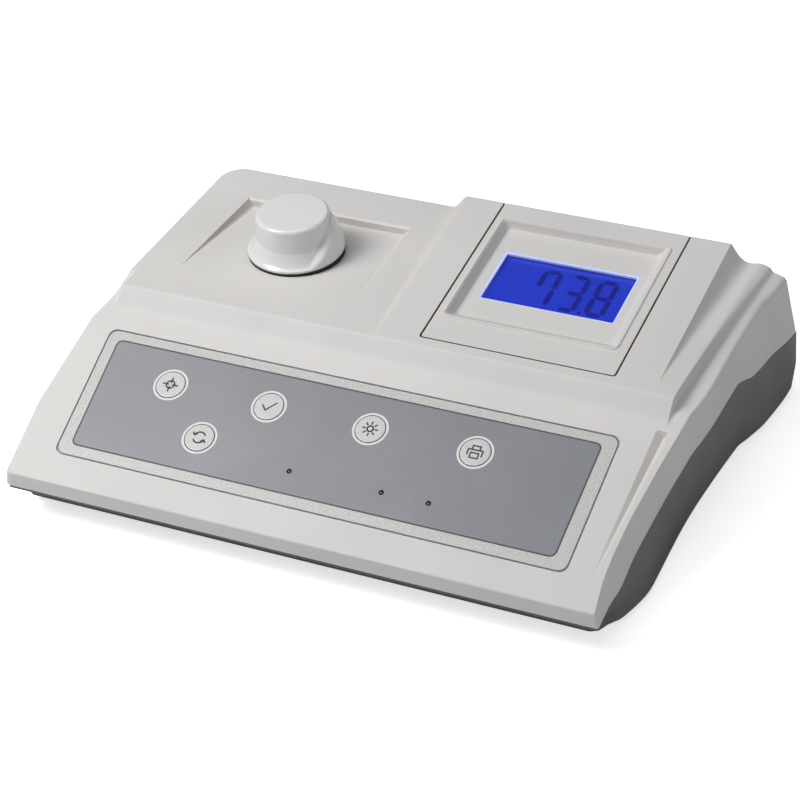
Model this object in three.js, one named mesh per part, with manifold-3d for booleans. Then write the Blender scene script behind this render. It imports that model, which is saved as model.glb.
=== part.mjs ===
import * as THREE from 'three';
import { mergeVertices } from 'three/addons/utils/BufferGeometryUtils.js';
import Module from 'manifold-3d';

const wasm = await Module();
wasm.setup();

// A bench turbidity meter in two moulded shells. Lengths are millimetres: X right, Y back, Z up.
// The shells are drawn from the middle of the front lip's top edge.

const degrees = THREE.MathUtils.degToRad;

// Case
const lipHalfWidth = 150;
const lipHeight = 8;
const caseDepth = 219.6;
const caseDrop = 24;
const wall = 2.5;
const panelSlope = degrees(20.4);
const panelRun = 95.2;
const hoodRun = 8.6;
const deckHeight = 43.9;
const shoulderDrop = 6.1;
const sideDraft = 0.18;
const shoulderFlare = 19;
const footFlare = 25;
const leftHalfWidth = 150.3;
const leftFootHalfWidth = 158.64;
const leftFootTaper = 14;
const leftFootTaperRun = 40;
const leftRearTaper = 9;
const leftHoodTaper = 4.5;
const panelEdgeRound = 3;
const frontTaper = 6;
const frontTaperRun = 40;
const rearCorner = 12;
const bandLeftEnd = 139;
const partingRise = 29.5;
const baseSetback = 12.6;
const lipLedge = 1.5;
const footLip = 2.4;
const footLipHeight = 2.2;
const rearBevelRun = 6.6;
const rearBevelRise = 10;

// Display boss and the three flutes beside it
const bossSlope = degrees(3.98);
const bossLeft = 0.2;
const bossRight = 140.5;
const bossFlankRun = 6.4;
const creaseRun = 0.6;
const fluteStart = 112;
const fluteDepth = 2.4;
const fluteRun = 8;
const ribFront = 10;
const ribRear = 15.5;
const ribDrop = 1.9;
const ribEndShare = 0.75;
const notchRear = 21.1;
const notchLift = 1.9;
const slopeGrooveDepth = 2.4;
const slopeGrooveStart = 16;
const slopeGrooveStop = 4.2;
const slopeGrooveWidth = 6.2;
const slopeGrooveFront = 142.5;
const slopeGrooveRear = 147.1;
const slopeGrooveLowShare = 0.65;

// Fits
const gap = 0.3;
const cutOverrun = 6;

// Sample well and its lift-off cap
const wellX = -68;
const wellDeckShare = 0.4827;
const vialBore = 13.3;
const wellWall = 2.1;
const wellFloor = 2;
const wellFoot = -16;
const wellProud = 6.1;
const collarRadius = 24.1;
const collarProud = 0.4;
const collarFlange = 3.4;
const collarFlangeHeight = 2.5;
const recessHalfWidth = 47.5;
const recessFront = 34;
const recessRear = 33.5;
const recessDepth = 4.4;
const capSkirtRadius = 24.7;
const capTopRadius = 18.6;
const capHeight = 21.3;
const capCavityRadius = 16.3;
const capRoof = 2.4;
const capEdgeRound = 1.8;
const capRimHeight = 1.6;
const capFlareHeight = 8.6;
const capFlareOutShare = 0.3;
const capFlareUpShare = 0.7;
const capEdgeShare = 0.3;
const capFinTurn = degrees(20);
const capFinFootSpread = degrees(60);
const capFinTopSpread = degrees(8);
const capFinSideShares = [-1, -0.5, 0, 0.5, 1];
const capFinInShare = 0.35;
const capFinUpShare = 0.45;

// Keypad on the front slope, with its rows as shares of the slope's length
const overlayLowShare = 0.1615;
const overlayHighShare = 0.8793;
const keyRowHighShare = 0.646;
const keyRowLowShare = 0.4052;
const lampRowShare = 0.3417;
const keyBoardLowShare = 0.266;
const keyBoardHighShare = 0.768;
const overlayLowHalf = 131.3;
const overlayHighHalf = 133.5;
const overlayCentre = -0.9;
const overlayThickness = 0.5;
const overlayCorner = 5;
const overlaySideGap = 0.4;
const keyRadius = 7.3;
const keyClearance = 0.4;
const keyPitch = 53.3;
const keyRowCentre = -10.7;
const keyProud = 0.4;
const keyFlange = 1.6;
const keyFlangeHeight = 1;
const keyPlunger = 2;
const keyPlungerLength = 5.2;
const keyTravel = 0.6;
const lampRadius = 1.1;
const lampPlaces = [-13.6, 33.8, 57.4];
const switchSide = 6;
const switchHeight = 3.4;
const actuatorRadius = 1.6;
const actuatorHeight = 1;
const keyBoardLeft = -112;
const keyBoardRight = 92;

// Display, with its outlines as shares of the boss: left, right, front, rear
const bezelShares = [0.1547, 0.8517, 0.0569, 1];
const rimShares = [0.176, 0.8182, 0.1998, 0.8992];
const trayShares = [0.2067, 0.774, 0.267, 0.8699];
const windowShares = [0.2552, 0.7413, 0.3997, 0.708];
const bezelThickness = 3;
const bezelSideGap = 0.5;
const rimHeight = 0.8;
const rimWidth = 1.8;
const trayDepth = 4;
const trayFloor = 1.5;
const trayWall = 2.4;
const glassLap = 2;
const windowThickness = 1;
const lcdThickness = 2.2;
const backlightThickness = 3;
const displayPost = 2.2;
const displayBoardLap = 2.6;
const ledgeLap = 4;

// Boards, screws and posts
const boardThickness = 1.6;
const screwShank = 1.2;
const screwHead = 2.6;
const screwHeadHeight = 1.8;
const screwLength = 7;
const postRadius = 3.4;
const standoffHeight = 7;
const caseScrewShank = 1.5;
const caseScrewHead = 3;
const caseScrewHeadHeight = 2.2;
const caseScrewLength = 24;
const caseBossRadius = 5.2;
const caseSplit = 0;
const caseScrewInset = 24;
const caseScrewFront = 46;
const caseScrewRearInset = 36;

// Optical bench under the well
const blockHalfWidth = 32;
const blockHalfDepth = 30;
const blockHeight = 34;
const blockFoot = -17.9;
const beamHeight = 4;
const beamRadius = 4;
const lampHouseRadius = 8;
const lampHouseLength = 16;
const lampHouseWall = 1.6;
const bulbRadius = 3.2;
const bulbGlassShare = 0.8;
const bulbLength = 9;
const bulbBaseLength = 6;
const lensThickness = 3;
const lensCrownShare = 0.6;
const lensCrownRiseShare = 0.8;
const lensSeat = 6;
const detectorRadius = 5;
const detectorLength = 7;
const detectorLead = 3;

// Boards and mains parts on the floor
const mainBoardLeft = 0;
const mainBoardWidth = 124;
const mainBoardGap = 8;
const mainBoardDepth = 84;
const boardHoleInset = 6;
const chipHeight = 2.4;
const chipWidth = 22;
const chipDepth = 12;
const chipPlaceShares = [[0.3, 0.35], [0.55, 0.6], [0.8, 0.35]];
const headerHeight = 6;
const headerWidth = 20;
const headerDepth = 6;
const headerPlaceShares = [0.25, 0.5, 0.75];
const powerBoardLeft = 2;
const powerBoardWidth = 58;
const powerBoardRearInset = 29.6;
const powerBoardDepth = 40;
const capacitorRadius = 6.5;
const capacitorHeight = 18;
const capacitorPlaceShares = [0.35, 0.65];
const coreWidth = 52;
const coreDepth = 22;
const coreHeight = 34;
const coreLimb = 9;
const coreWindowShares = [0.3, 0.7];
const coreLeft = 72;
const coreRearInset = 39.6;
const windingBulge = 6;

// Rear panel and what is fitted in it
const rearPanelLeft = -48;
const rearPanelRight = 122;
const rearPanelLow = -11;
const rearPanelHigh = 30;
const rearPanelThickness = 2;
const rearPanelLap = 3.5;
const connectorHeight = 9;
const inletX = 92;
const inletWidth = 27;
const inletTall = 19.6;
const inletFlangeWidth = 44;
const inletFlangeTall = 24;
const inletFlangeThickness = 2.4;
const inletDepth = 19;
const inletCavityWidth = 22.8;
const inletCavityTall = 15.4;
const inletCavityDepth = 14;
const inletPinWidth = 1.8;
const inletPinTall = 4;
const inletPinLength = 8.5;
const inletPinSpread = 7;
const inletPinRise = 2;
const rockerX = 50;
const rockerFrameWidth = 16;
const rockerFrameTall = 22;
const rockerWidth = 10.6;
const rockerTall = 16;
const rockerFlangeThickness = 2;
const rockerFrameWall = 1.7;
const rockerDepth = 15;
const rockerTilt = degrees(9);
const rockerProud = 1.6;
const serialX = 2;
const serialWidth = 31;
const serialTall = 12.5;
const serialPlateThickness = 1.2;
const serialShellWidth = 17;
const serialShellTall = 8.4;
const serialShellLength = 5.6;
const serialBodyDepth = 8;
const serialSlant = 1.4;
const serialPinRadius = 0.6;
const serialPinPitch = 2.77;
const socketPitchShares = [-2, -1, 0, 1, 2, -1.5, -0.5, 0.5, 1.5];
const serialPinDepth = 3;

// Feet
const footRadius = 8;
const footWaist = 6.8;
const footHeight = 3;
const footInset = 20;
const footFront = 34;
const footRearInset = 23.6;

// Facets
const roundSides = 24;
const smallSides = 10;
const capSides = 40;

const hoodY = panelRun + hoodRun;
const shoulderHeight = deckHeight - shoulderDrop;
const slopeGrooveEnd = panelRun - slopeGrooveStop;
const panelLength = panelRun / Math.cos(panelSlope);
const wellY = hoodY + (caseDepth - hoodY) * wellDeckShare;
const floorTop = wall - caseDrop;
const panelHeight = (y) => y * Math.tan(panelSlope);
const bossRise = (y) => Math.max(0, (y - hoodY) * Math.tan(bossSlope));
const bossReach = (caseDepth - hoodY) / Math.cos(bossSlope);
const ramp = (value, from, to) => THREE.MathUtils.clamp((value - from) / (to - from), 0, 1);
const mix = THREE.MathUtils.lerp;

// Side lines of the case: how far back along the depth, how much of the full size
const shoulderShares = [[0, 0], [0.09, -0.09], [0.19, -0.02], [0.28, 0.13], [0.36, 0.28], [0.44, 0.46],
  [0.55, 0.64], [0.72, 0.69], [0.88, 0.78], [0.95, 0.94], [1, 1]];
const partingShares = [[0, 0], [0.11, 0], [0.19, 0.21], [0.27, 0.44], [0.375, 0.73], [0.46, 0.94],
  [0.56, 0.985], [0.69, 0.96], [0.73, 0.85], [0.77, 0.71], [0.83, 0.62], [0.9, 0.555], [1, 0.49]];
const footShares = [[0.057, -0.35], [0.069, -0.15], [0.09, -0.06], [0.12, 0.13], [0.235, 0.36],
  [0.39, 0.35], [0.725, 0.57], [0.76, 0.68], [0.83, 0.86], [0.97, 1], [1, 1]];
const footLipShares = [[0.06, 0], [0.09, 1], [0.36, 1], [0.58, 0], [1, 0]];

// Where the shells take their sections, besides the places that have sizes of their own
const stationShares = [0.19, 0.28, 0.36, 0.64, 0.69, 0.73, 0.77, 0.83, 0.9];
const cornerShares = [1, 0.45, 0.15];
const lastCornerShare = cornerShares.at(-1);

function along(shares, share) {
  const next = shares.findIndex(([place]) => place >= share);
  if (next <= 0) return shares[next < 0 ? shares.length - 1 : 0][1];
  const [fromPlace, from] = shares[next - 1];
  const [toPlace, to] = shares[next];
  return mix(from, to, (share - fromPlace) / (toPlace - fromPlace));
}

const shoulderX = (y) => lipHalfWidth + shoulderFlare * along(shoulderShares, y / caseDepth);
const shoulderZ = (y) => Math.min(panelHeight(y), shoulderHeight);
const partingZ = (y) => partingRise * along(partingShares, y / caseDepth) - lipHeight;
const footX = (y) => lipHalfWidth + footFlare * along(footShares, y / caseDepth);
const rightWallX = (y, z) => shoulderX(y) + (shoulderZ(y) - z) * sideDraft;

// The left flank leans out going down and is drawn in at both ends, and a little more at the hood
function leftWallX(y, z) {
  const front = frontTaper * (1 - ramp(y, 0, frontTaperRun));
  const into = Math.max(0, y - caseDepth + rearCorner);
  const corner = rearCorner - Math.sqrt(rearCorner * rearCorner - into * into);
  const rear = corner + leftRearTaper * ramp(y, 0, caseDepth)
    + leftHoodTaper * ramp(y, panelRun - frontTaper, hoodY);
  return front + rear - leftHalfWidth - (deckHeight - z) * sideDraft;
}

function leftFootX(y) {
  const front = leftFootTaper * (1 - ramp(y, 0, leftFootTaperRun));
  return Math.max(leftWallX(y, deckHeight) + leftHalfWidth, front) - leftFootHalfWidth;
}

function topZ(y) {
  if (y <= panelRun) return panelHeight(y);
  return mix(panelHeight(panelRun), deckHeight, ramp(y, panelRun, hoodY));
}

const at = (x, y, z) => new THREE.Vector3(x, y, z);

// The left shoulder: a quarter round along the panel's and the deck's edge
function leftShoulder(y, skin) {
  const top = Math.min(panelHeight(y), deckHeight);
  const x = leftWallX(y, top - panelEdgeRound) + panelEdgeRound;
  const inner = panelEdgeRound - skin;
  const bend = Math.SQRT1_2 * inner;
  const low = top - panelEdgeRound;
  return [at(x - inner, y, low), at(x - bend, y, low + bend), at(x, y, top - skin)];
}

// One cross-section of the upper shell's outside, from its left foot over the top to its right foot
function upperOutside(y) {
  const foot = partingZ(y);
  const top = topZ(y);
  const back = ramp(y, hoodY, caseDepth);
  const flute = ramp(y, fluteStart, caseDepth);
  const shoulder = leftShoulder(y, 0);
  const ring = [
    at(leftWallX(y, foot), y, foot),
    ...shoulder,
    at(Math.max(-bandLeftEnd, shoulder.at(-1).x + creaseRun), y, top),
    at(bossLeft - mix(creaseRun, bossFlankRun, back), y, top),
    at(bossLeft, y, top + bossRise(y)),
    at(bossRight, y, top + bossRise(y)),
  ];
  if (y <= panelRun) {
    const groove = ramp(y, slopeGrooveStart, slopeGrooveEnd);
    const edge = mix(slopeGrooveFront, slopeGrooveRear, groove);
    const width = mix(creaseRun * 2, slopeGrooveWidth, groove);
    const deep = y > slopeGrooveEnd ? 0 : groove * slopeGrooveDepth;
    const strip = shoulderX(y) - edge - width;
    ring.push(at(edge, y, top));
    ring.push(at(edge + width * slopeGrooveLowShare, y, top - deep));
    ring.push(at(edge + width, y, top));
    ring.push(at(edge + width + strip / 2, y, top));
  } else {
    const floor = deckHeight + bossRise(fluteStart) - fluteDepth * flute;
    const valley = Math.min(topZ(y) + bossRise(y), floor);
    const crest = bossRight + mix(ribFront, ribRear, back);
    const notch = bossRight + mix(ribFront + creaseRun, notchRear, back);
    ring.push(at(bossRight + creaseRun + fluteRun * flute, y, valley));
    ring.push(at(crest, y, top));
    ring.push(at(mix(crest, notch, back * ribEndShare), y, top - ribDrop * back));
    ring.push(at(notch + creaseRun, y, shoulderZ(y) + notchLift * back));
  }
  ring.push(at(shoulderX(y), y, shoulderZ(y)));
  ring.push(at(rightWallX(y, foot), y, foot));
  return ring;
}

// The same cross-section of its inside, a skin's thickness in, run on downwards
function upperInside(y, skin) {
  const foot = partingZ(y) - cutOverrun;
  const top = topZ(y) - skin;
  const low = Math.min(topZ(y), shoulderZ(y) + notchLift) - slopeGrooveDepth - skin / 2;
  return [
    at(leftWallX(y, foot) + skin, y, foot),
    ...leftShoulder(y, skin),
    at(bossLeft - bossFlankRun, y, top),
    at(bossLeft + skin, y, top + bossRise(y)),
    at(bossRight - skin, y, top + bossRise(y)),
    at(bossRight, y, low),
    at(shoulderX(y) - skin, y, Math.min(low, shoulderZ(y) - skin)),
    at(rightWallX(y, foot) - skin, y, foot),
  ];
}

// Lower shell: a ledge under the lip, then the tub, with its rear edge bevelled
function tubBottom(y) {
  return mix(-caseDrop, rearBevelRise - caseDrop, ramp(y, caseDepth - rearBevelRun, caseDepth));
}

// The right foot flares out in a low lip along the front half
function tubSection(y, skin, top, bottom) {
  const ankle = Math.min(bottom + footLipHeight, (top + bottom) / 2);
  const rightAnkle = footX(y) - footLip * along(footLipShares, y / caseDepth);
  const leftFoot = leftFootX(y);
  return [
    at(leftWallX(y, top) + skin, y, top),
    at(leftFoot + skin, y, ankle),
    at(leftFoot + skin, y, bottom),
    at(footX(y) - skin, y, bottom),
    at(rightAnkle - skin, y, ankle),
    at(rightWallX(y, top) - skin, y, top),
  ].reverse();
}

function ledgeSection(y) {
  const top = partingZ(y) - gap;
  const bottom = top - wall;
  const middle = (top + bottom) / 2;
  return [
    at(leftWallX(y, top) + lipLedge, y, top),
    at(leftWallX(y, top) + lipLedge, y, middle),
    at(leftWallX(y, top) + lipLedge, y, bottom),
    at(rightWallX(y, top) - lipLedge, y, bottom),
    at(rightWallX(y, top) - lipLedge, y, middle),
    at(rightWallX(y, top) - lipLedge, y, top),
  ].reverse();
}

// A closed skin through rings of points, with each end fanned from a hub
function loft(rings, hubOf) {
  const count = rings[0].length;
  const points = rings.flat();
  const index = [];
  rings.slice(1).forEach((ring, r) => {
    for (let i = 0; i < count; i++) {
      const j = (i + 1) % count;
      const [a, b] = [r * count + i, r * count + j];
      index.push(a, b, b + count, a, b + count, a + count);
    }
  });
  for (const [ring, start] of [[rings[0], 0], [rings.at(-1), (rings.length - 1) * count]]) {
    const hub = points.push(hubOf(ring)) - 1;
    for (let i = 0; i < count; i++) {
      const j = (i + 1) % count;
      if (start === 0) index.push(start + j, start + i, hub);
      else index.push(start + i, start + j, hub);
    }
  }
  const geometry = new THREE.BufferGeometry().setFromPoints(points);
  geometry.setIndex(index);
  return geometry;
}

const middleOf = (ring) => ring.reduce((sum, p) => sum.add(p), at(0, 0, 0)).divideScalar(ring.length);

// Seen from a hub low on the right, every crease of the section shows in turn
const [hubAcrossShare, hubUpShare] = [0.78, 0.1];
const lowHub = (ring) => at(mix(ring[0].x, ring.at(-1).x, hubAcrossShare), ring[0].y,
  mix(ring[0].z, ring.at(-2).z, hubUpShare));

// Solids
function solid(geometry) {
  const bare = geometry.clone();
  for (const name of Object.keys(bare.attributes)) {
    if (name !== 'position') bare.deleteAttribute(name);
  }
  const merged = mergeVertices(bare);
  const corners = merged.index.array;
  const faces = [];
  for (let i = 0; i < corners.length; i += 3) {
    const [a, b, c] = corners.slice(i, i + 3);
    if (a !== b && b !== c && c !== a) faces.push(a, b, c);
  }
  const vertProperties = new Float32Array(merged.attributes.position.array);
  const triVerts = new Uint32Array(faces);
  const made = new wasm.Manifold(new wasm.Mesh({ numProp: 3, vertProperties, triVerts }));
  if (made.volume() > 0) return made;
  const turned = new Uint32Array(faces.reverse());
  return new wasm.Manifold(new wasm.Mesh({ numProp: 3, vertProperties, triVerts: turned }));
}

const joined = (first, ...rest) => rest.reduce((sum, next) => sum.add(next), first);
const cut = (first, ...rest) => rest.reduce((left, next) => left.subtract(next), first);

function box(x0, x1, y0, y1, z0, z1) {
  const geometry = new THREE.BoxGeometry(x1 - x0, y1 - y0, z1 - z0);
  return geometry.translate((x0 + x1) / 2, (y0 + y1) / 2, (z0 + z1) / 2);
}

function rod(x, y, z0, z1, radius, sides = smallSides) {
  const geometry = new THREE.CylinderGeometry(radius, radius, z1 - z0, sides);
  return geometry.rotateX(Math.PI / 2).translate(x, y, (z0 + z1) / 2);
}

// Rods that lie along X or along Y, from one end to the other
function rodX(x0, x1, y, z, radius, sides = smallSides) {
  return rod(0, 0, x0, x1, radius, sides).rotateY(Math.PI / 2).translate(0, y, z);
}

function rodY(x, y0, y1, z, radius, sides = smallSides) {
  return rod(0, 0, y0, y1, radius, sides).rotateX(-Math.PI / 2).translate(x, 0, z);
}

// A turned piece: its profile is radius and height pairs
function turned(profile, sides = roundSides) {
  const points = profile.map(([r, z]) => new THREE.Vector2(r, z));
  return new THREE.LatheGeometry(points, sides).rotateX(Math.PI / 2);
}

// A flat plate from an outline in X and Y
function plate(outline, z0, z1) {
  const shape = new THREE.Shape(outline.map(([x, y]) => new THREE.Vector2(x, y)));
  return new THREE.ExtrudeGeometry(shape, { depth: z1 - z0, bevelEnabled: false }).translate(0, 0, z0);
}

// A four-sided outline with round corners, given by its corner points
function roundedOutline(corners, radius) {
  const outline = [];
  const steps = 5;
  corners.forEach(([x, y], i) => {
    const corner = new THREE.Vector2(x, y);
    const [before, after] = [corners.at(i - 1), corners[(i + 1) % corners.length]];
    const back = new THREE.Vector2(...before).sub(corner).setLength(radius).add(corner);
    const ahead = new THREE.Vector2(...after).sub(corner).setLength(radius).add(corner);
    const bend = new THREE.QuadraticBezierCurve(back, corner, ahead);
    bend.getPoints(steps).forEach((p) => outline.push([p.x, p.y]));
  });
  return outline;
}

// A tapered pit: one rectangle above another
function funnel(upper, lower, z0, z1) {
  const ring = ([x0, x1, y0, y1], z) => [at(x0, y0, z), at(x1, y0, z), at(x1, y1, z), at(x0, y1, z)];
  return loft([ring(lower, z0), ring(upper, z1)], middleOf);
}

const onPanel = (geometry) => geometry.rotateX(panelSlope);
const onBoss = (geometry) => geometry.rotateX(bossSlope).translate(0, hoodY, deckHeight);

// Finishes
const finish = (color, roughness, metalness = 0) =>
  new THREE.MeshStandardMaterial({ color, roughness, metalness });
const shellWhite = finish(0xdcdad7, 0.45);
const shellGrey = finish(0x5a615f, 0.55);
const overlayGrey = finish(0x9b9da1, 0.4, 0.2);
const keyPale = finish(0xc9cacb, 0.5);
const capWhite = finish(0xe4e3e0, 0.25);
const blackPlastic = finish(0x16171a, 0.4);
const rubberBlack = finish(0x1d1d1e, 0.9);
const seeThrough = (color, opacity) =>
  new THREE.MeshStandardMaterial({ color, opacity, transparent: true, roughness: 0.05 });
const clearPlastic = seeThrough(0xe8eef5, 0.3);
const lcdBlue = finish(0x2c42d8, 0.25);
const backlightWhite = finish(0xdfe6ff, 0.4);
const boardGreen = finish(0x1f5a36, 0.5);
const steel = finish(0xb9bcc0, 0.3, 1);
const aluminium = finish(0xa9acb0, 0.35, 1);
const blackAnodised = finish(0x1b1c1f, 0.45, 0.4);
const copperWinding = finish(0x8a4a24, 0.45, 0.6);
const lampGlass = seeThrough(0xf4f1e6, 0.4);
const lampRed = finish(0xb02a22, 0.2);

function mesh(name, shape, material) {
  const made = shape.getMesh ? shape : solid(shape);
  const { vertProperties, triVerts, numProp } = made.getMesh();
  const places = [];
  for (const corner of triVerts) {
    places.push(...vertProperties.slice(corner * numProp, corner * numProp + 3));
  }
  const geometry = new THREE.BufferGeometry();
  geometry.setAttribute('position', new THREE.Float32BufferAttribute(places, 3));
  geometry.computeVertexNormals();
  const piece = new THREE.Mesh(geometry, material);
  piece.name = name;
  return piece;
}

// Places worked out from the sizes above
const stationList = [0, slopeGrooveStart, frontTaperRun, slopeGrooveEnd, slopeGrooveEnd + creaseRun,
  panelRun, hoodY, fluteStart, deckHeight / Math.tan(panelSlope), caseDepth,
  ...stationShares.map((share) => share * caseDepth),
  ...cornerShares.map((share) => caseDepth - rearCorner * share)];
const upperStations = stationList.sort((a, b) => a - b)
  .filter((y, i, all) => i === 0 || y - all[i - 1] > gap);
const keyRowHigh = panelLength * keyRowHighShare;
const keyRowLow = panelLength * keyRowLowShare;
const lampRow = panelLength * lampRowShare;
const keyBoardLow = panelLength * keyBoardLowShare;
const keyBoardHigh = panelLength * keyBoardHighShare;
const overlayLow = panelLength * overlayLowShare;
const overlayHigh = panelLength * overlayHighShare;
const keyPlaces = {
  key_calibrate: [keyRowCentre - keyPitch * 1.5, keyRowHigh],
  key_confirm: [keyRowCentre - keyPitch / 2, keyRowHigh],
  key_backlight: [keyRowCentre + keyPitch / 2, keyRowHigh],
  key_print: [keyRowCentre + keyPitch * 1.5, keyRowHigh],
  key_mode: [keyRowCentre - keyPitch, keyRowLow],
};
const panelSkin = wall * Math.cos(panelSlope);
const plungerTip = -panelSkin - gap - keyFlangeHeight - keyPlungerLength;
const switchTop = plungerTip - keyTravel - gap / 2;
const keyBoardTop = switchTop - actuatorHeight - switchHeight - gap;
const keyBoardMiddle = (keyBoardLow + keyBoardHigh) / 2;
const keyBoardHoles = [keyBoardLeft, keyBoardRight].flatMap((x) => [keyBoardLow, keyBoardHigh].map((s) => [
  x + boardHoleInset * Math.sign(-x), s + boardHoleInset * Math.sign(keyBoardMiddle - s)]));
const recessFrontY = wellY - recessFront;
const recessRearY = wellY + recessRear;
const recessFloorTop = deckHeight - recessDepth;
const collarHole = collarRadius + gap;
const collarTop = deckHeight + collarProud;
const wellTop = deckHeight + wellProud;
const flangeTop = recessFloorTop - wall - gap;
const caseScrews = [caseScrewFront, caseDepth - caseScrewRearInset].flatMap((y) => [
  [leftWallX(y, caseSplit) + caseScrewInset, y], [rightWallX(y, caseSplit) - caseScrewInset, y]]);
const caseScrewSeat = -caseDrop + caseScrewHeadHeight + gap;
const caseScrewPilotTop = caseScrewSeat + caseScrewLength + gap;
const rearInside = caseDepth - wall;
const rearPanelBack = rearInside - gap;
const rearPanelFront = rearPanelBack - rearPanelThickness;
const onBossPlan = ([left, right, front, rear]) => [
  mix(bossLeft, bossRight, left), mix(bossLeft, bossRight, right), bossReach * front, bossReach * rear];
const [bezelLeft, bezelRight, bezelFront] = onBossPlan(bezelShares);
const [rimLeft, rimRight, rimFront, rimRear] = onBossPlan(rimShares);
const [trayLeft, trayRight, trayFront, trayRear] = onBossPlan(trayShares);
const [windowLeft, windowRight, windowFront, windowRear] = onBossPlan(windowShares);
const displayStack = windowThickness + lcdThickness + backlightThickness + gap * 4;
const displayBoardTop = -trayDepth - trayFloor - displayStack;
const displayPostReach = glassLap + displayPost + gap;
const displayPosts = [windowLeft - displayPostReach, windowRight + displayPostReach].flatMap(
  (x) => [windowFront, windowRear].map((t) => [x, t]));
const mainBoardFoot = floorTop + standoffHeight + gap;
const holeEnds = (start, length) => [start + boardHoleInset, start + length - boardHoleInset];
const boardHoles = (left, front, width, depth) =>
  holeEnds(left, width).flatMap((x) => holeEnds(front, depth).map((y) => [x, y]));
const powerBoardFront = caseDepth - powerBoardRearInset - powerBoardDepth;
const mainBoardFront = powerBoardFront - mainBoardGap - mainBoardDepth;
const mainHoles = boardHoles(mainBoardLeft, mainBoardFront, mainBoardWidth, mainBoardDepth);
const coreFront = caseDepth - coreRearInset - coreDepth;
const powerHoles = boardHoles(powerBoardLeft, powerBoardFront, powerBoardWidth, powerBoardDepth)
  .filter((hole, i) => i === 0 || i === 3);

function keypadOutline(inset) {
  const [left, right] = [overlayCentre - overlayLowHalf + inset, overlayCentre + overlayLowHalf - inset];
  const spread = overlayHighHalf - overlayLowHalf;
  return roundedOutline([
    [left, overlayLow + inset], [right, overlayLow + inset],
    [right + spread, overlayHigh - inset], [left - spread, overlayHigh - inset]], overlayCorner);
}

function upperHousing() {
  const outside = solid(loft(upperStations.map(upperOutside), lowHub));
  const insideOf = (skin) => {
    const between = upperStations.filter((y) => y > skin && y < caseDepth - skin);
    return solid(loft([skin, ...between, caseDepth - skin].map((y) => upperInside(y, skin)), lowHub));
  };
  const shell = cut(outside, insideOf(wall));
  const core = insideOf(wall / 2);

  // Pan under the sloping recess, with a level seat round the well
  const [panLeft, panRight] = [wellX - recessHalfWidth - wall, wellX + recessHalfWidth + wall];
  const panSide = new THREE.Shape([
    new THREE.Vector2(recessFrontY - wall, deckHeight),
    new THREE.Vector2(recessFrontY - wall, deckHeight - wall),
    new THREE.Vector2(recessRearY + wall, recessFloorTop - wall),
    new THREE.Vector2(recessRearY + wall, deckHeight)]);
  const pitSide = new THREE.Shape([
    new THREE.Vector2(recessFrontY, deckHeight), new THREE.Vector2(recessRearY, recessFloorTop),
    new THREE.Vector2(recessRearY + gap, deckHeight + cutOverrun),
    new THREE.Vector2(recessFrontY, deckHeight + cutOverrun)]);
  const across = (shape, x0, x1) =>
    new THREE.ExtrudeGeometry(shape, { depth: x1 - x0, bevelEnabled: false })
      .rotateX(Math.PI / 2).rotateZ(Math.PI / 2).translate(x0, 0, 0);
  const pan = solid(across(panSide, panLeft, panRight));
  const pit = solid(across(pitSide, wellX - recessHalfWidth, wellX + recessHalfWidth));
  const seat = solid(rod(wellX, wellY, recessFloorTop - wall, deckHeight - wall / 2,
    collarRadius + wall * 2, roundSides));
  const wellHole = solid(rod(wellX, wellY, flangeTop, deckHeight + cutOverrun, collarHole, roundSides));

  // Ledge that the display bezel sits on
  const ledge = solid(onBoss(box(bezelLeft - ledgeLap, bezelRight + ledgeLap, bezelFront - ledgeLap,
    bossReach - wall / 2, -bezelThickness - gap - wall, -wall / 2)));
  const pocket = solid(onBoss(box(bezelLeft - bezelSideGap, bezelRight + bezelSideGap,
    bezelFront - bezelSideGap, bossReach + cutOverrun, -bezelThickness - gap, cutOverrun)));
  const trayHole = solid(onBoss(box(trayLeft - trayWall - gap, trayRight + trayWall + gap,
    trayFront - trayWall - gap, trayRear + trayWall + gap, -trayDepth - cutOverrun, cutOverrun)));

  // Posts for the case screws and the key board
  const casePosts = caseScrews.map(([x, y]) =>
    solid(rod(x, y, caseSplit + gap, deckHeight + cutOverrun, caseBossRadius)));
  const casePilots = caseScrews.map(([x, y]) =>
    solid(rod(x, y, caseSplit, caseScrewPilotTop, caseScrewShank + gap / 2)));
  const keyPosts = keyBoardHoles.map(([x, s]) =>
    solid(onPanel(rod(x, s, keyBoardTop + gap, cutOverrun, postRadius))));
  const keyPilots = keyBoardHoles.map(([x, s]) =>
    solid(onPanel(rod(x, s, keyBoardTop, keyBoardTop + screwLength, screwShank + gap / 2))));

  // Front slope: pocket for the overlay, key holes and lamp holes
  const overlayPocket = solid(onPanel(
    plate(keypadOutline(-overlaySideGap), -overlayThickness - gap, cutOverrun)));
  const keyHoles = Object.values(keyPlaces).map(([x, s]) =>
    solid(onPanel(rod(x, s, -wall - cutOverrun, cutOverrun, keyRadius + keyClearance, roundSides))));
  const lampHoles = lampPlaces.map((x) =>
    solid(onPanel(rod(x, lampRow, -wall - cutOverrun, cutOverrun, lampRadius + gap))));

  const fittings = joined(pan, seat, ledge, ...casePosts, ...keyPosts).intersect(core);
  return cut(
    joined(shell, fittings),
    pit, wellHole, pocket, trayHole, overlayPocket, ...casePilots, ...keyPilots, ...keyHoles, ...lampHoles,
    rearCutout());
}

function rearCutout() {
  return solid(box(rearPanelLeft + rearPanelLap, rearPanelRight - rearPanelLap, rearInside - wall,
    caseDepth + cutOverrun, rearPanelLow + rearPanelLap, rearPanelHigh - rearPanelLap));
}

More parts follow.
